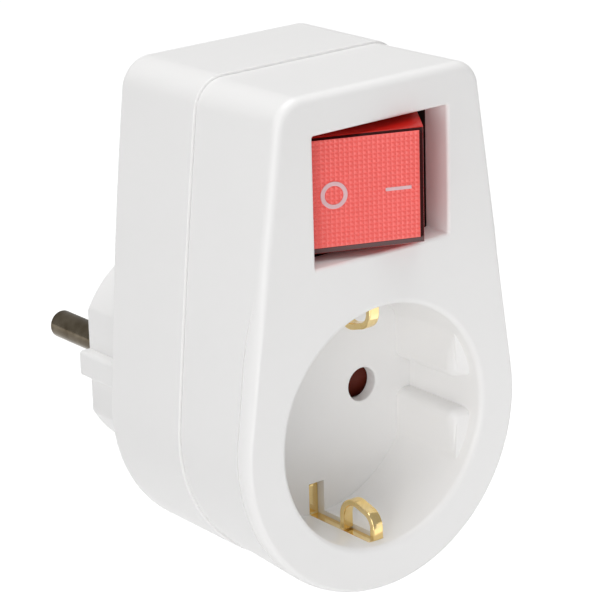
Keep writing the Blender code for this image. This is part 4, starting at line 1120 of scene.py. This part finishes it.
def camera():
    """The photograph's view: its direction, roll, distance and lens were fitted to known sizes."""
    azimuth, elevation, roll = [math.radians(angle) for angle in CAMERA_ANGLES]
    level = math.cos(elevation)
    ahead = Vector((-math.sin(azimuth) * level, math.cos(azimuth) * level, -math.sin(elevation)))
    right = Vector((math.cos(azimuth), math.sin(azimuth), 0))
    up = right.cross(ahead)
    across = math.cos(roll) * right + math.sin(roll) * up
    upward = -math.sin(roll) * right + math.cos(roll) * up
    aim_x, aim_y, aim_z = CAMERA_AIM
    aim = Vector((aim_x, FRONT_Y + aim_y, aim_z))
    data = bpy.data.cameras.new("camera")
    data.sensor_width = CAMERA_SENSOR
    data.lens = CAMERA_LENS
    data.clip_start = CAMERA_NEAR
    obj = bpy.data.objects.new("camera", data)
    pose = Matrix((across, upward, -ahead)).transposed().to_4x4()
    pose.translation = (aim - ahead * CAMERA_DISTANCE) * MM
    obj.matrix_world = pose
    bpy.context.scene.collection.objects.link(obj)
    bpy.context.scene.camera = obj


def dress(obj, body, slot, finishes, *nodes):
    """Gives a new piece its finishes and its body, and hides the nodes it stands for."""
    for finish in finishes:
        obj.data.materials.append(finish)
    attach(obj, body)
    if nodes:
        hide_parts(*nodes)


def main():
    """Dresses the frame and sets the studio."""
    finishes = materials()
    for subpart in frame["record"]["subparts"]:
        data = frame["nodes"][subpart["node"]].data
        data.materials.clear()
        data.materials.append(finishes[subpart["material_slot"]])
    white = [finishes["housing_white"]]
    brass = [finishes["brass"]]
    dress(front_skin(), "housing", "housing_white", white, "front_housing")
    dress(rear_skin(), "housing", "housing_white", white, "rear_housing")
    dress(earth_skin(), "housing", "brass", brass, "socket_earth_strap")
    dress(plug_earth_skin(), "housing", "brass", brass, "plug_earth_strap")
    for name, sign in (("left", -1), ("right", 1)):
        pin = pin_skin("pin_skin_" + name, sign)
        dress(pin, "housing", "plated_pin", [finishes["plated_pin"]], "plug_pin_" + name)
    dress(rocker_skin(), "rocker", "rocker_red", rocker_materials(finishes["rocker_red"]), "rocker")
    paint = [plastic("sign_paint", (0.76, 0.5, 0.53), (0.82, 0.56, 0.59), 0.45)]
    dress(off_sign(), "rocker", "rocker_red", paint)
    dress(on_sign(), "rocker", "rocker_red", paint)
    studio()
    white_floor()
    camera()


main()
